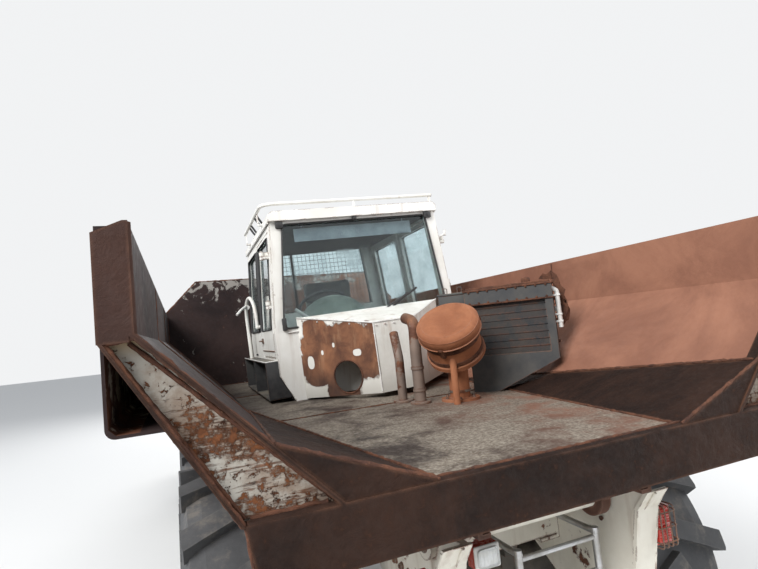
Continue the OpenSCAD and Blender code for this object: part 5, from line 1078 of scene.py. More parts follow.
def make_radiator_parts():
    """Fins, tank seams, torn shroud, side pipes and the dark box behind the left end."""
    bm = bmesh.new()
    for y in (0.0245, 0.0855):
        for k in range(58):
            x = 0.047 + k * 0.0070
            slab(bm, (x, y - 0.0045, 0.19), (x + 0.0012, y + 0.0045, 0.503), RADIATOR)
        for k in range(8):
            z = 0.205 + k * 0.04
            tube(bm, [(0.043, y, z), (0.457, y, z)], 0.0035, 6, RADIATOR, 1.8)
    put("radiator_core", bm, core_dark, "dump_body")
    bm = bmesh.new()
    for z in (0.510, 0.594):
        slab(bm, (-0.006, -0.007, z - 0.005), (0.506, 0.117, z + 0.005), RADIATOR, 0.002, 1)
    slab(bm, (0.01, 0.004, 0.598), (0.49, 0.106, 0.612), RADIATOR, 0.005, 2)
    lathe(bm, [(0.0, 0.03), (0.022, 0.028), (0.026, 0.02), (0.026, 0.0), (0.018, 0.0)],
          RADIATOR @ shift(0.36, 0.055, 0.61), 24)
    for k in range(9):
        for z in (0.518, 0.586):
            bolt(bm, (0.03 + k * 0.055, -0.0005, z), (0, -1, 0), 0.0065, RADIATOR)
    for x in (-0.003, 0.503):
        for z in (0.14, 0.26, 0.38, 0.48):
            bolt(bm, (x, 0.055, z + (0.12 if x > 0 else 0)), (-1 if x < 0 else 1, 0, 0), 0.008, RADIATOR)
    put("radiator_tank", bm, crusted, "dump_body")
    bm = bmesh.new()
    torn = [(0.43, 0.625), (0.452, 0.655), (0.478, 0.648), (0.505, 0.668), (0.532, 0.640), (0.545, 0.585),
            (0.572, 0.548), (0.556, 0.50),
            (0.575, 0.455), (0.548, 0.41), (0.561, 0.372), (0.535, 0.345), (0.507, 0.352), (0.507, 0.615)]
    sheet = bm.faces.new([bm.verts.new(RADIATOR @ Vector((x, 0.118 + 0.02 * flutter.noise(Vector((x * 9, z * 9, 1))),
                                                          z))) for x, z in torn])
    bmesh.ops.triangulate(bm, faces=[sheet])
    bmesh.ops.subdivide_edges(bm, edges=bm.edges[:], cuts=3)
    for vert in bm.verts:
        vert.co += Vector((0.0, 0.012, 0.0)) * flutter.noise(vert.co * 22.0)
    bmesh.ops.solidify(bm, geom=bm.faces[:], thickness=0.004)
    put("torn_shroud", bm, crusted, "dump_body", 30)
    bm = bmesh.new()
    for x, y, foot, top in ((0.524, 0.060, 0.335, 0.545), (0.524, 0.100, 0.335, 0.43)):
        tube(bm, bent([(x, y, foot), (x, y, top), (x - 0.05, y, top + 0.03)], 0.02), 0.013, 12, RADIATOR)
    for z in (0.37, 0.41, 0.52):
        slab(bm, (0.498, 0.045, z - 0.006), (0.540, 0.114, z + 0.006), RADIATOR, 0.002, 1)
    put("radiator_pipes", bm, rail_white, "dump_body")
    bm = bmesh.new()
    slab(bm, (-0.165, 0.02, 0.475), (0.004, 0.09, 0.588), RADIATOR, 0.006, 2)
    slab(bm, (-0.17, 0.015, 0.584), (0.008, 0.095, 0.598), RADIATOR, 0.003, 1)
    for x in (-0.125, -0.035):
        tube(bm, bent([(x - 0.012, 0.055, 0.596), (x - 0.014, 0.055, 0.632), (x + 0.014, 0.055, 0.632),
                       (x + 0.012, 0.055, 0.596)], 0.01, 3), 0.0028, 6, RADIATOR)
    for z in (0.50, 0.56):
        slab(bm, (-0.004, 0.03, z - 0.01), (0.02, 0.08, z + 0.01), RADIATOR, 0.002, 1)
    put("header_box", bm, grille_black, "dump_body")


# ---------------------------------------------------------------- rear frame and running gear

def make_tail_lamp_parts():
    """Ribbed lenses in their bezels, wire guards and lead pipes of the tail lamps."""
    x0, x1, y, z0, z1 = 0.4523, 0.5323, TAIL_Y + 0.170, 1.27, 1.40
    bm = bmesh.new()
    for side in BOTH:
        for low, high in ((z0 + 0.008, 1.332), (1.338, z1 - 0.008)):
            slab(bm, (x0 + 0.008, y - 0.010, low), (x1 - 0.008, y + 0.002, high), side, 0.005, 2)
            for k in range(5):
                z = low + 0.008 + k * (high - low - 0.016) / 4
                rod(bm, (x0 + 0.012, y - 0.0105, z), (x1 - 0.012, y - 0.0105, z), 0.0018, sides=6, place=side)
    put("tail_lenses", bm, red_lens, "rear_unit")
    bm = bmesh.new()
    for side in BOTH:
        for k in range(4):
            x = x0 + 0.006 + k * (x1 - x0 - 0.012) / 3
            tube(bm, bent([(x, y + 0.03, z0 - 0.008), (x, y - 0.026, z0 - 0.008), (x, y - 0.026, z1 + 0.008),
                           (x, y + 0.03, z1 + 0.008)], 0.012, 4), 0.0026, 6, side)
        for k in range(3):
            z = z0 + 0.012 + k * (z1 - z0 - 0.024) / 2
            tube(bm, bent([(x0, y + 0.02, z), (x0, y - 0.026, z), (x1 + 0.006, y - 0.026, z),
                           (x1 + 0.006, y + 0.02, z)], 0.012, 4), 0.0026, 6, side)
        tube(bm, bent([(0.485, y + 0.05, 1.268), (0.485, y + 0.05, 1.20), (0.425, TAIL_Y + 0.30, 1.10),
                       (0.395, TAIL_Y + 0.52, 1.20)], 0.05, 6), 0.008, 8, side)
        for z in (1.315, 1.355):
            bolt(bm, (0.40, TAIL_Y + 0.2045, z), (0, -1, 0), 0.007, side)
    put("lamp_guards", bm, bolt_steel, "rear_unit")
    bm = bmesh.new()
    slab(bm, (-0.297, TAIL_Y + 0.183, 1.362), (-0.203, TAIL_Y + 0.194, 1.438), HERE, 0.006, 3)
    put("work_lamp_rim", bm, rail_white, "rear_unit")
    bm = bmesh.new()
    slab(bm, (-0.289, TAIL_Y + 0.177, 1.370), (-0.211, TAIL_Y + 0.186, 1.430), HERE, 0.012, 3)
    for k in range(6):
        rod(bm, (-0.279 + k * 0.0116, TAIL_Y + 0.1765, 1.378), (-0.279 + k * 0.0116, TAIL_Y + 0.1765, 1.422), 0.0016,
            sides=6)
    put("work_lamp_lens", bm, clear_lens, "rear_unit")


def make_frame_fittings():
    """Hinge pin keepers, pin caps, bolts and welds of the frame, and pipes clipped along the rails."""
    bm = bmesh.new()
    for side in BOTH:
        pin = side @ facing((0.4085, HINGE_Y, HINGE_Z), (1, 0, 0))
        lathe(bm, [(0.0, 0.006), (0.036, 0.006), (0.039, 0.003), (0.039, 0.0), (0.0, 0.0)], pin, 28)
        slab(bm, (0.4075, -4.30, 1.462), (0.4165, -4.24, 1.476), side, 0.003, 1)
        for y in (-4.288, -4.252):
            bolt(bm, (0.4165, y, 1.469), (1, 0, 0), 0.008, side)
        for y in (-4.06, -4.0, -3.94, -3.88, -3.82, -3.76):
            for z in (1.25, 1.42):
                bolt(bm, (0.3855, y, z), (1, 0, 0), 0.013, side)
        for y in [-3.5 + 0.42 * k for k in range(8)]:
            bolt(bm, (0.3605, y, 1.22), (1, 0, 0), 0.011, side)
            bolt(bm, (0.3605, y, 1.46), (1, 0, 0), 0.011, side)
        for x, y, z, r in ((0.603, *HOIST_FOOT_YZ, 0.040), (0.4835, -2.535, 0.985, 0.050)):
            cap = side @ facing((x, y, z), (1, 0, 0))
            lathe(bm, [(0.0, 0.012), (r * 0.9, 0.012), (r * 1.25, 0.008), (r * 1.25, 0.0), (0.0, 0.0)], cap, 28)
            bolt_circle(bm, 4, r * 0.75, 0.0125, 0.008, cap)
    put("frame_bolts", bm, bolt_steel, "rear_unit")
    bm = bmesh.new()
    for side in BOTH:
        bead(bm, (0.387, -4.515, 1.495), (0.387, -4.455, 1.42), 0.005, 0.4, place=side)
        bead(bm, (0.4505, TAIL_Y + 0.10, 1.49), (0.4505, TAIL_Y + 0.142, 1.425), 0.0045, 0.35, place=side)
        bead(bm, (0.4505, TAIL_Y + 0.144, 1.42), (0.4505, TAIL_Y + 0.192, 1.18), 0.0045, 0.35, place=side)
        bead(bm, (0.4505, TAIL_Y + 0.194, 1.175), (0.4505, TAIL_Y + 0.232, 0.965), 0.0045, 0.35, place=side)
        bead(bm, (0.3875, TAIL_Y + 0.165, 1.42), (0.3875, TAIL_Y + 0.213, 1.18), 0.005, 0.35, place=side)
        bead(bm, (0.3655, -3.70, 1.184), (0.3655, -0.30, 1.184), 0.0045, 0.3, 0.03, place=side)
        ring(bm, 0.047, 0.005, side @ facing((0.357, TAIL_Y + 0.42, 1.02), (1, 0, 0)), 28, 6)
        for y in (-4.0, -2.7, -1.9):
            bead(bm, (0.20, y, 1.4605), (0.33, y, 1.4605), 0.005, 0.3, 0.03, place=side)
    put("frame_welds", bm, frame_cream, "rear_unit", 60)
    bm = bmesh.new()
    for x, z in ((0.318, 1.300), (0.318, 1.330), (0.318, 1.360)):
        tube(bm, bent([(x, -3.95, z), (x, -2.45, z), (x, -1.3, z - 0.01), (x, -0.40, z - 0.01)], 0.2), 0.011, 10)
        tube(bm, bent([(-x, -3.95, z), (-x, -2.45, z), (-x, -1.3, z - 0.01), (-x, -0.40, z - 0.01)], 0.2), 0.009, 10)
    for y in (-3.6, -2.9, -2.2, -1.6, -0.7):
        for side in BOTH:
            slab(bm, (0.302, y - 0.015, 1.275), (0.345, y + 0.015, 1.385), side, 0.003, 1)
    put("frame_pipes", bm, pipe_grey, "rear_unit")


BRAKE_CHAMBER = [(0.0, 0.075), (0.06, 0.068), (0.078, 0.05), (0.084, 0.012), (0.09, 0.006), (0.09, -0.006),
                 (0.084, -0.012), (0.078, -0.05), (0.055, -0.07), (0.0, -0.075)]


def make_axle_fittings(body, places, name):
    """Brake chambers with their rods, bolted hub plates, tube collars and the gear housings' bolts."""
    bm = bmesh.new()
    for y, way in places:
        for side in BOTH:
            lathe(bm, BRAKE_CHAMBER, side @ facing((0.40, y - 0.165 * way, 0.86), (0, -way, 0)), 32)
            arm_y = y - 0.10 * way
            rod(bm, (0.40, arm_y, 0.86), (0.40, y - 0.02 * way, 0.86), 0.012, place=side)
            slab(bm, (0.36, arm_y - 0.01, 0.80), (0.44, arm_y + 0.01, 0.94), side, 0.004, 1)
            plate = side @ facing((0.735, y, AXLE_Z), (1, 0, 0))
            lathe(bm, [(0.09, 0.0), (0.20, -0.012), (0.225, -0.006), (0.225, 0.004), (0.09, 0.012)], plate, 40)
            bolt_circle(bm, 10, 0.125, -0.004, 0.010, plate, -1)
            ring(bm, 0.0925, 0.006, side @ facing((0.33, y, AXLE_Z), (1, 0, 0)), 32, 6)
        for ahead, up, _ in around(14, 0.205):
            for out in (1, -1):
                bolt(bm, (0.1005 * out, y + ahead, AXLE_Z + up), (out, 0, 0), 0.011)
        rod(bm, (0, y, 1.02), (0, y, 1.036), 0.016, sides=6)
    put(name, bm, axle_grime, body)


def make_shaft_joints():
    """Universal joints and bolted flanges of the drive shafts, and the layered pads of the walking beams."""
    bm = bmesh.new()
    slope = math.atan2(0.09, 1.55)
    for y, z, tilt in ((-3.01, 0.84, 0.0), (-2.06, 0.84, 0.0), (-1.31, 0.84, slope), (-0.64, SWIVEL_Z, slope)):
        hub = facing((0, y, z), (0, math.cos(tilt), math.sin(tilt)))
        for height in (-0.045, 0.045):
            band(bm, 0.0, 0.078, height, 0.009, 0.0, hub, 32)
            bolt_circle(bm, 8, 0.063, height * 1.2, 0.008, hub, height)
        for arm in (Vector((0.075, 0, 0)), Vector((0, 0.075, 0))):
            rod(bm, -arm, arm, 0.021, sides=16, place=hub)
            for end in (-arm, arm):
                rod(bm, end * 0.93, end * 1.12, 0.027, sides=16, place=hub)
    for side in BOTH:
        for y in (REAR_AXLE_Y, MID_AXLE_Y):
            for z in (0.9355, 0.953, 0.9705):
                slab(bm, (0.381, y - 0.115, z - 0.006), (0.469, y + 0.115, z + 0.006), side, 0.004, 1)
    put("shaft_joints", bm, axle_grime, "rear_unit")


def make_wheel_parts(side, axle, y):
    """Studs, hub cover, lock ring and valve of a rim; ribs and bead rings of its tyre."""
    sign = -1 if side == "left" else 1
    out = facing((sign * WHEEL_X, y, AXLE_Z), (sign, 0, 0))
    bm = bmesh.new()
    bolt_circle(bm, 12, 0.225, -0.070, 0.019, out)
    bolt_circle(bm, 10, 0.140, 0.0115, 0.012, out, start=0.5)
    lathe(bm, [(0.0, 0.067), (0.04, 0.066), (0.055, 0.058), (0.055, 0.045), (0.0, 0.045)], out, 24)
    rod(bm, (0.0, 0.0, 0.06), (0.0, 0.0, 0.078), 0.018, sides=6, place=out)
    tube(bm, bent([(0.262, 0.05, -0.075), (0.262, 0.05, -0.03), (0.285, 0.05, 0.03)], 0.02), 0.006, 8, out)
    rod(bm, (0.285, 0.05, 0.028), (0.292, 0.05, 0.046), 0.009, sides=10, place=out)
    put(f"studs_{axle}_{side}", bm, bolt_steel, f"wheel_{axle}_{side}")
    bm = bmesh.new()
    lathe(bm, [(0.292, 0.214), (0.316, 0.216), (0.330, 0.232), (0.332, 0.238), (0.322, 0.240), (0.300, 0.232),
               (0.288, 0.224), (0.292, 0.214)], out, 64)
    lathe(bm, [(0.166, 0.010), (0.176, 0.002), (0.182, -0.055), (0.205, -0.068), (0.255, -0.068), (0.280, -0.05),
               (0.292, 0.0),
               (0.292, -0.074), (0.17, -0.074)], out, 64)
    for k in range(6):
        spoke = out @ Matrix.Rotation(math.tau * (k + 0.25) / 6, 4, "Z")
        slab(bm, (0.168, -0.006, -0.072), (0.275, 0.006, -0.045), spoke, 0.003, 1)
    put(f"lock_ring_{axle}_{side}", bm, rim_cream, f"wheel_{axle}_{side}")
    bm = bmesh.new()
    for way in (-1, 1):
        face = facing((sign * WHEEL_X, y, AXLE_Z), (way, 0, 0))
        lathe(bm, [(0.322, 0.214), (0.345, 0.232), (0.362, 0.240), (0.370, 0.2445), (0.378, 0.240), (0.395, 0.249),
                   (0.403, 0.2555), (0.411, 0.2535)], face, 72)
        for radius in (0.52, 0.545, 0.625):
            ring(bm, radius, 0.005, face @ shift(0, 0, 0.2635 if radius < 0.6 else 0.2615), 72, 6)
        for k in range(36):
            rib = face @ Matrix.Rotation(math.tau * k / 36, 4, "Z")
            slab(bm, (0.632, -0.005, 0.254), (0.676, 0.005, 0.2645), rib, 0.002, 1)
    put(f"sidewall_{axle}_{side}", bm, tyre_rubber, f"wheel_{axle}_{side}", 50)


def make_cylinder_parts():
    """Gland nuts, clamps, ports and feed pipes of the hoist and steering cylinders."""
    for side, sign in (("left", -1), ("right", 1)):
        low, high = Vector((sign * HOIST_X, *HOIST_FOOT_YZ)), Vector((sign * HOIST_X, *HOIST_HEAD_YZ))
        along = (high - low).normalized()
        axis = facing(low, along)
        end = (high - low).length - 0.12
        bm = bmesh.new()
        lathe(bm, [(0.036, end + 0.002), (0.052, end), (0.060, end - 0.006), (0.060, end - 0.012)], axis, 32)
        bolt_circle(bm, 8, 0.050, end, 0.007, axis)
        for z in (0.16, end - 0.09):
            band(bm, 0.058, 0.063, z, 0.02, 0.005, axis, 32)
        put(f"hoist_gland_{side}", bm, bolt_steel, f"hoist_barrel_{side}")
        bm = bmesh.new()
        out = Vector((sign, 0, 0))
        foot, head = low + along * 0.13, low + along * (end - 0.06)
        path = [foot + out * 0.05, foot + out * 0.07, head + out * 0.07, head + out * 0.05]
        tube(bm, bent(path, 0.02), 0.009, 10)
        put(f"hoist_pipe_{side}", bm, pipe_grey, f"hoist_barrel_{side}")
        bm = bmesh.new()
        x = sign * STEER_X
        for y in (1.00, 0.84):
            ring(bm, 0.0385, 0.0030, facing((x, y, SWIVEL_Z), (0, 1, 0)), 28, 8)
        for y in (0.87, 0.96):
            rod(bm, (x, y, 0.965), (x, y, 0.982), 0.011, sides=6)
        tube(bm, bent([(x, 0.87, 0.978), (x, 0.88, 0.986), (x, 0.95, 0.986), (x, 0.96, 0.978)], 0.01), 0.006, 8)
        put(f"steer_gland_{side}", bm, bolt_steel, f"steer_barrel_{side}")


# ---------------------------------------------------------------- front unit

def make_deck_parts():
    """Raised tread bars, rubbers and washers of the mounts, capped couplings and folded edge of the bare deck."""
    bm = bmesh.new()
    for i in range(30):
        for j in range(31):
            x, y = -0.59 + i * 0.0407, 1.16 + j * 0.0415
            in_hatch = abs(x) < 0.215 and 1.46 < y < 2.20
            if in_hatch or any(abs(x - at[0]) < 0.075 and abs(y - at[1]) < 0.075 for at in DECK_MOUNTS):
                continue
            way = 0.785 if (i + j) % 2 else -0.785
            spot = shift(x, y, DECK_Z + 0.0005) @ Matrix.Rotation(way, 4,
                                                                  "Z") @ Matrix.Diagonal((0.026, 0.007, 0.003, 1))
            bmesh.ops.create_cone(bm, cap_ends=True, segments=6, radius1=0.5, radius2=0.3, depth=1.0, matrix=spot)
    put("deck_tread", bm, deck_dark, "front_unit", 20)
    bm = bmesh.new()
    for at in DECK_MOUNTS:
        for rise in (0.008, 0.020, 0.032):
            ring(bm, 0.056, 0.005, shift(*at, DECK_Z + rise), 32, 6)
    put("mount_rubbers", bm, black_rubber, "front_unit")
    bm = bmesh.new()
    for at in DECK_MOUNTS:
        washer = [(0.012, 0.0), (0.040, 0.0), (0.044, 0.003), (0.044, 0.006), (0.014, 0.006), (0.012, 0.0)]
        lathe(bm, washer, shift(*at, DECK_Z + 0.045), 32)
    for side in BOTH:
        slab(bm, (0.600, 1.13, DECK_Z), (0.606, 2.43, DECK_Z + 0.036), side, 0.002, 1)
        for y in (1.2, 1.6, 2.0, 2.36):
            bolt(bm, (0.6065, y, DECK_Z + 0.018), (1, 0, 0), 0.008, side)
    slab(bm, (-0.60, 2.424, DECK_Z), (0.60, 2.430, DECK_Z + 0.036), HERE, 0.002, 1)
    slab(bm, (-0.16, 2.225, DECK_Z), (0.16, 2.237, DECK_Z + 0.12), HERE, 0.003, 1)
    coupling = [(0.0, 0.035), (0.014, 0.034), (0.018, 0.03), (0.018, 0.012), (0.024, 0.012), (0.024, 0.0), (0.0, 0.0)]
    for k in range(5):
        lathe(bm, coupling, facing((-0.12 + 0.06 * k, 2.2255, DECK_Z + 0.07), (0, -1, 0)), 18)
    put("deck_fittings", bm, bolt_steel, "front_unit")


def make_bonnet_parts():
    """Latches, louvre hoods, seams, grille mesh and lifting handle of the bonnet."""
    bm = bmesh.new()
    for side in BOTH:
        for i in range(6):
            y = 3.4 + i * 0.09
            slab(bm, (0.5195, y - 0.006, 1.328), (0.532, y + 0.004, 1.562), side, 0.003, 1)
        bead(bm, (0.521, 2.52, 1.80), (0.521, 4.36, 1.735), 0.004, 0.12, 0.03, place=side)
        for y in (2.62, 3.2):
            slab(bm, (0.519, y - 0.03, 1.205), (0.530, y + 0.03, 1.30), side, 0.004, 2)
            tube(bm, bent([(0.532, y - 0.016, 1.225), (0.545, y - 0.016, 1.26), (0.545, y + 0.016, 1.26),
                           (0.532, y + 0.016, 1.225)], 0.006, 3), 0.004, 8, side)
    tube(bm, bent([(-0.16, 4.4995, 1.735), (-0.16, 4.535, 1.735), (0.16, 4.535, 1.735), (0.16, 4.4995, 1.735)],
                  0.02), 0.009, 10)
    for x in (-0.16, 0.16):
        lathe(bm, [(0.0, 0.006), (0.02, 0.006), (0.022, 0.0), (0.0, 0.0)], facing((x, 4.4985, 1.735), (0, 1, 0)), 18)
    for z in (1.243, 1.687):
        bead(bm, (-0.385, 4.502, z), (0.385, 4.502, z), 0.005, 0.1, 0.03)
    for x in (-0.387, 0.387):
        bead(bm, (x, 4.502, 1.243), (x, 4.502, 1.687), 0.005, 0.1, 0.03)
    put("bonnet_trim", bm, bolt_steel, "bonnet")
    bm = bmesh.new()
    for k in range(37):
        rod(bm, (-0.36 + k * 0.02, 4.470, 1.27), (-0.36 + k * 0.02, 4.470, 1.66), 0.0015, sides=4)
    for k in range(20):
        rod(bm, (-0.36, 4.473, 1.275 + k * 0.02), (0.36, 4.473, 1.275 + k * 0.02), 0.0015, sides=4)
    put("grille_mesh", bm, dark_wire, "bonnet")


def make_engine_parts():
    """Ribs, manifold, filters and fan blades that show round the engine block."""
    bm = bmesh.new()
    for side in BOTH:
        for k in range(6):
            y = 2.74 + k * 0.19
            slab(bm, (0.328, y, 1.26), (0.342, y + 0.03, 1.59), side, 0.004, 1)
            slab(bm, (0.235, y - 0.06, 1.70), (0.335, y + 0.08, 1.745), side @ shift(-0.03, 0, 0), 0.01, 1)
            rod(bm, (0.33, y + 0.015, 1.63), (0.372, y + 0.015, 1.63), 0.024, place=side)
        tube(bm, [(0.37, 2.72, 1.63), (0.37, 3.72, 1.63)], 0.034, 20, side)
        for k in range(2):
            lathe(bm, [(0.0, 0.0), (0.05, 0.003), (0.055, 0.012), (0.055, 0.17), (0.045, 0.185), (0.0, 0.187)],
                  side @ shift(0.395, 2.86 + 0.15 * k, 1.30), 28)
    put("engine_parts", bm, engine_grey, "front_unit")
    bm = bmesh.new()
    hub = facing((0, 4.025, 1.405), (0, 1, 0))
    for k in range(8):
        blade = hub @ Matrix.Rotation(math.tau * k / 8, 4, "Z") @ shift(0.165, 0, 0.028) @ Matrix.Rotation(0.5, 4,
                                                                                                           "X")
        slab(bm, (-0.095, -0.045, -0.002), (0.10, 0.045, 0.002), blade, 0.0015, 1)
    lathe(bm, [(0.0, 0.075), (0.05, 0.072), (0.07, 0.06), (0.07, 0.02), (0.0, 0.02)], hub, 28)
    put("fan_blades", bm, grille_black, "front_unit")


def make_lamp_parts():
    """Bezels, guard bars and bolts of the head lamps; bumper bolts and the tow pin with a bent keeper wire."""
    bm = bmesh.new()
    for side in BOTH:
        for x in BOX_LAMP_X:
            slab(bm, (x - 0.004, 4.552, 1.096), (x + 0.184, 4.566, 1.234), side, 0.006, 2)
            for k in range(5):
                rod(bm, (x + 0.02 + k * 0.035, 4.583, 1.10), (x + 0.02 + k * 0.035, 4.583, 1.23), 0.003, sides=6,
                    place=side)
            for z in (1.104, 1.226):
                tube(bm, bent([(x + 0.01, 4.56, z), (x + 0.01, 4.583, z), (x + 0.17, 4.583, z), (x + 0.17, 4.56, z)],
                              0.01, 3), 0.003, 6, side)
            for z in (1.112, 1.218):
                for dx in (0.01, 0.17):
                    bolt(bm, (x + dx, 4.5662, z), (0, 1, 0), 0.005, side)
        for x in (0.30, 0.55, 0.80):
            bolt(bm, (x, 4.49, 1.0805), (0, 0, 1), 0.016, side)
    rod(bm, (-0.085, 4.52, 0.72), (0.085, 4.52, 0.72), 0.0225, sides=24)
    for x in (-0.085, 0.085):
        rod(bm, (x, 4.52, 0.72), (x * 1.12, 4.52, 0.72), 0.034, sides=24)
    tube(bm, bent([(-0.09, 4.52, 0.745), (-0.09, 4.52, 0.79), (-0.03, 4.545, 0.775)], 0.02), 0.005, 8)
    put("lamp_bezels", bm, bolt_steel, "front_unit")


TANK_CAP_AT = (0.87, 1.225)


def make_tank_fittings():
    """Straps, filler caps, drain plugs and step treads of the side tanks, and one sight glass."""
    bm = bmesh.new()
    for side in BOTH:
        for y in (1.10, 1.35):
            path = [(0.659, y, 0.64), (0.719, y, 0.5785), (1.021, y, 0.5785), (1.0815, y, 0.64), (1.0815, y, 1.18),
                    (1.021, y, 1.2415), (0.719, y, 1.2415), (0.6585, y, 1.18)]
            tube(bm, bent(path, 0.05, 5, True), 0.022, 6, side, 0.12, True, (0, 1, 0))
        neck = [(0.0, 0.062), (0.05, 0.06), (0.056, 0.052), (0.056, 0.03), (0.046, 0.03), (0.046, 0.0), (0.0, 0.0)]
        lathe(bm, neck, side @ shift(*TANK_CAP_AT, 1.2395), 32)
        for k in range(3):
            grip = side @ shift(*TANK_CAP_AT, 0) @ Matrix.Rotation(k * 1.05, 4, "Z")
            slab(bm, (-0.008, -0.055, 1.295), (0.008, 0.055, 1.305), grip, 0.002, 1)
        for z in (0.584, 0.884, 1.184):
            for k in range(14):
                slab(bm, (1.09, 1.065 + k * 0.0235, z - 0.001), (1.18, 1.072 + k * 0.0235, z + 0.004), side)
        rod(bm, (0.80, 1.2, 0.582), (0.80, 1.2, 0.555), 0.02, sides=6, place=side)
    put("tank_fittings", bm, bolt_steel, "front_unit")
    bm = bmesh.new()
    tube(bm, [(0.965, 1.4415, 0.80), (0.965, 1.4415, 1.06)], 0.009, 12)
    put("tank_gauge", bm, clear_lens, "front_unit")


def on_fender(x, angle, lift=0.0):
    """Point over the front wheel at an angle about its axle, lift above the fender's rim line."""
    radius = FENDER_R + lift
    return (x, FRONT_AXLE_Y + radius * math.cos(angle), AXLE_Z + radius * math.sin(angle))


def make_fender_fittings():
    """Rolled rims and bolts of the fenders, their rubber grips and mud flaps."""
    bm = bmesh.new()
    for side in BOTH:
        for x in (0.632, 1.183):
            tube(bm, [on_fender(x, math.radians(26 + k * 4)) for k in range(33)], 0.008, 8, side)
        for degrees in (28, 152):
            a = math.radians(degrees)
            for k in range(6):
                bolt(bm, on_fender(0.69 + k * 0.085, a, 0.0075), (0, math.cos(a), math.sin(a)), 0.008, side)
    put("fender_rims", bm, bonnet_cream, "front_unit")
    bm = bmesh.new()
    for side in BOTH:
        for k in range(9):
            a = math.radians(72 + k * 4.5)
            spot = side @ shift(*on_fender(0.90, a, 0.008)) @ Matrix.Rotation(a - math.pi / 2, 4, "X")
            slab(bm, (-0.17, -0.012, -0.002), (0.17, 0.012, 0.004), spot, 0.002, 1)
        slab(bm, (0.66, 1.468, 1.10), (1.17, 1.478, 1.20), side, 0.003, 1)
    put("fender_grips", bm, black_rubber, "front_unit")


def make_exhaust_parts():
    """Clamps, shield wires, hinged rain flap and its stop on the exhaust stack."""
    x, y = STACK_X, STACK_Y
    stack = shift(x, y, 0)
    bm = bmesh.new()
    for z in (STACK_FOOT_Z + 0.06, STACK_FOOT_Z + 0.28, STACK_FOOT_Z + 0.50):
        band(bm, 0.099, 0.1045, z, 0.014, 0.001, stack, 40)
        slab(bm, (x - 0.115, y - 0.012, z - 0.012), (x - 0.098, y + 0.012, z + 0.012), HERE, 0.002, 1)
    for z in (STACK_FOOT_Z + 0.63, 2.62):
        band(bm, 0.049, 0.0545, z, 0.011, 0.001, stack, 32)
    for k in range(9):
        z = 2.20 + k * 0.035
        rod(bm, (x + 0.062, y - 0.03, z), (x + 0.062, y + 0.03, z), 0.003, sides=6)
    lid = shift(x, y - 0.05, 2.7205) @ Matrix.Rotation(math.radians(14), 4, "X") @ shift(0, 0.05, 0.004)
    lathe(bm, [(0.0, 0.003), (0.052, 0.003), (0.056, 0.0), (0.052, -0.003), (0.0, -0.003)], lid, 32)
    rod(bm, (x - 0.02, y - 0.054, 2.722), (x + 0.02, y - 0.054, 2.722), 0.006, sides=10)
    slab(bm, (x - 0.008, y - 0.062, 2.69), (x + 0.008, y - 0.05, 2.722), HERE, 0.002, 1)
    put("exhaust_parts", bm, stack_steel, "front_unit")


def make_hitch_parts():
    """Flange bolts of the swivel, steering pins' washers and grease fittings, and the king pin's cap."""
    bm = bmesh.new()
    for across, up, _ in around(16, 0.182):
        bolt(bm, (across, 0.4905, SWIVEL_Z + up), (0, 1, 0), 0.012)
    for side in BOTH:
        washer = [(0.0, 0.005), (0.034, 0.005), (0.036, 0.0), (0.0, 0.0)]
        lathe(bm, washer, side @ shift(STEER_X, STEER_PIN_Y, 0.9905), 24)
        rod(bm, (STEER_X, STEER_PIN_Y, 0.995), (STEER_X, STEER_PIN_Y, 1.012), 0.006, sides=8, place=side)
    put("hitch_bolts", bm, bolt_steel, "hitch")
    bm = bmesh.new()
    top = shift(0, KING_PIN_Y, 1.156)
    lathe(bm, [(0.0, 0.018), (0.05, 0.018), (0.056, 0.012), (0.085, 0.012), (0.09, 0.007), (0.09, -0.019),
               (0.0, -0.019)],
          top, 36)
    bolt_circle(bm, 6, 0.072, 0.0125, 0.009, top)
    put("steering_pin_cap", bm, bolt_steel, "front_unit")


for make in (make_tail_crust, make_body_seams, make_sill_bolts, make_cab_seals, make_wiper, make_rear_guard,
             make_cab_trim, make_cab_inside, make_seat, make_cowl_trim, make_drum_parts, make_radiator_parts,
             make_tail_lamp_parts, make_frame_fittings):
    make()
make_axle_fittings("rear_unit", ((REAR_AXLE_Y, -1), (MID_AXLE_Y, -1)), "rear_axle_parts")
make_axle_fittings("front_unit", ((FRONT_AXLE_Y, 1),), "front_axle_parts")
make_shaft_joints()
for axle, y in (("rear", REAR_AXLE_Y), ("mid", MID_AXLE_Y), ("front", FRONT_AXLE_Y)):
    for side in ("left", "right"):
        make_wheel_parts(side, axle, y)
make_cylinder_parts()
for make in (make_deck_parts, make_bonnet_parts, make_engine_parts, make_lamp_parts, make_tank_fittings,
             make_fender_fittings, make_exhaust_parts, make_hitch_parts):
    make()


# ---------------------------------------------------------------- stage, light and camera

def set_camera():
    """Camera solved from the body's edges in the photo."""
    eye = Vector((-1.1234, -5.9201, 2.1680))
    yaw, pitch, roll = math.radians(21.571), math.radians(4.648), math.radians(-5.786)
    ahead = Vector((math.sin(yaw) * math.cos(pitch), math.cos(yaw) * math.cos(pitch), math.sin(pitch)))
    level = Vector((math.cos(yaw), -math.sin(yaw), 0))
    upright = level.cross(ahead)
    right = level * math.cos(roll) + upright * math.sin(roll)
    up = upright * math.cos(roll) - level * math.sin(roll)
    camera = bpy.data.objects.new("camera", bpy.data.cameras.new("camera"))
    scene.collection.objects.link(camera)
    turn = Matrix((right, up, -ahead)).transposed().to_4x4()
    camera.matrix_world = Matrix.Translation(eye) @ turn
    camera.data.sensor_width = 36.0
    camera.data.lens = 515.0 / 758.0 * 36.0
    camera.data.clip_start = 0.05
    camera.data.clip_end = 300.0
    scene.camera = camera


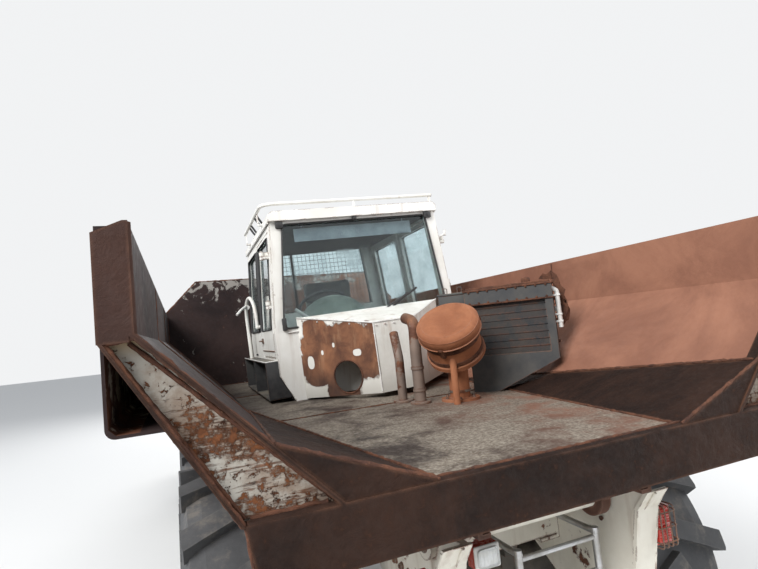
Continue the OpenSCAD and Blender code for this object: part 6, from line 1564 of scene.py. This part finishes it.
def pale_stage(name, colour):
    """Plain pale, rough surface."""
    material, _, shader = new_material(name, Roughness=0.9)
    shader.inputs["Base Color"].default_value = (*colour, 1.0)
    return material


def set_stage():
    """Pale floor under the truck."""
    bm = bmesh.new()
    bmesh.ops.create_grid(bm, x_segments=1, y_segments=1, size=60.0)
    mesh = bpy.data.meshes.new("floor")
    bm.to_mesh(mesh)
    bm.free()
    floor = bpy.data.objects.new("floor", mesh)
    scene.collection.objects.link(floor)
    mesh.materials.append(pale_stage("pale floor", (0.78, 0.78, 0.77)))


def add_softbox(name, place, aim, size, power):
    """Rectangular area light aimed at a point."""
    light = bpy.data.lights.new(name, "AREA")
    light.shape = "RECTANGLE"
    light.size, light.size_y = size
    light.energy = power
    lamp = bpy.data.objects.new(name, light)
    scene.collection.objects.link(lamp)
    lamp.location = place
    lamp.rotation_euler = (Vector(aim) - Vector(place)).to_track_quat("-Z", "Y").to_euler()


def set_light():
    """Even studio light: a pale world and three softboxes."""
    world = bpy.data.worlds.new("studio")
    world.use_nodes = True
    scene.world = world
    tree = world.node_tree
    fill = tree.nodes["Background"]
    fill.inputs["Color"].default_value = (0.86, 0.90, 0.96, 1)
    fill.inputs["Strength"].default_value = 0.55
    seen = add(tree, "Background", {"Color": (0.93, 0.94, 0.95, 1.0), "Strength": 0.95})
    path = add(tree, "LightPath")
    shown = calc(tree, "MAXIMUM", path.outputs["Is Camera Ray"], path.outputs["Is Glossy Ray"])
    shown = calc(tree, "MAXIMUM", shown, path.outputs["Is Transmission Ray"])
    mix = add(tree, "MixShader", {0: shown, 1: fill.outputs[0], 2: seen.outputs[0]})
    tree.links.new(mix.outputs[0], tree.nodes["World Output"].inputs["Surface"])
    add_softbox("key", (-9.0, -9.0, 10.0), (0, -1, 1.5), (7.0, 7.0), 2300.0)
    add_softbox("fill", (9.5, -7.0, 6.0), (0, -1, 1.5), (7.0, 5.0), 700.0)
    add_softbox("back", (3.0, 12.0, 8.0), (0, 0, 1.5), (8.0, 5.0), 900.0)


set_camera()
set_stage()
set_light()
scene.view_settings.view_transform = "Standard"
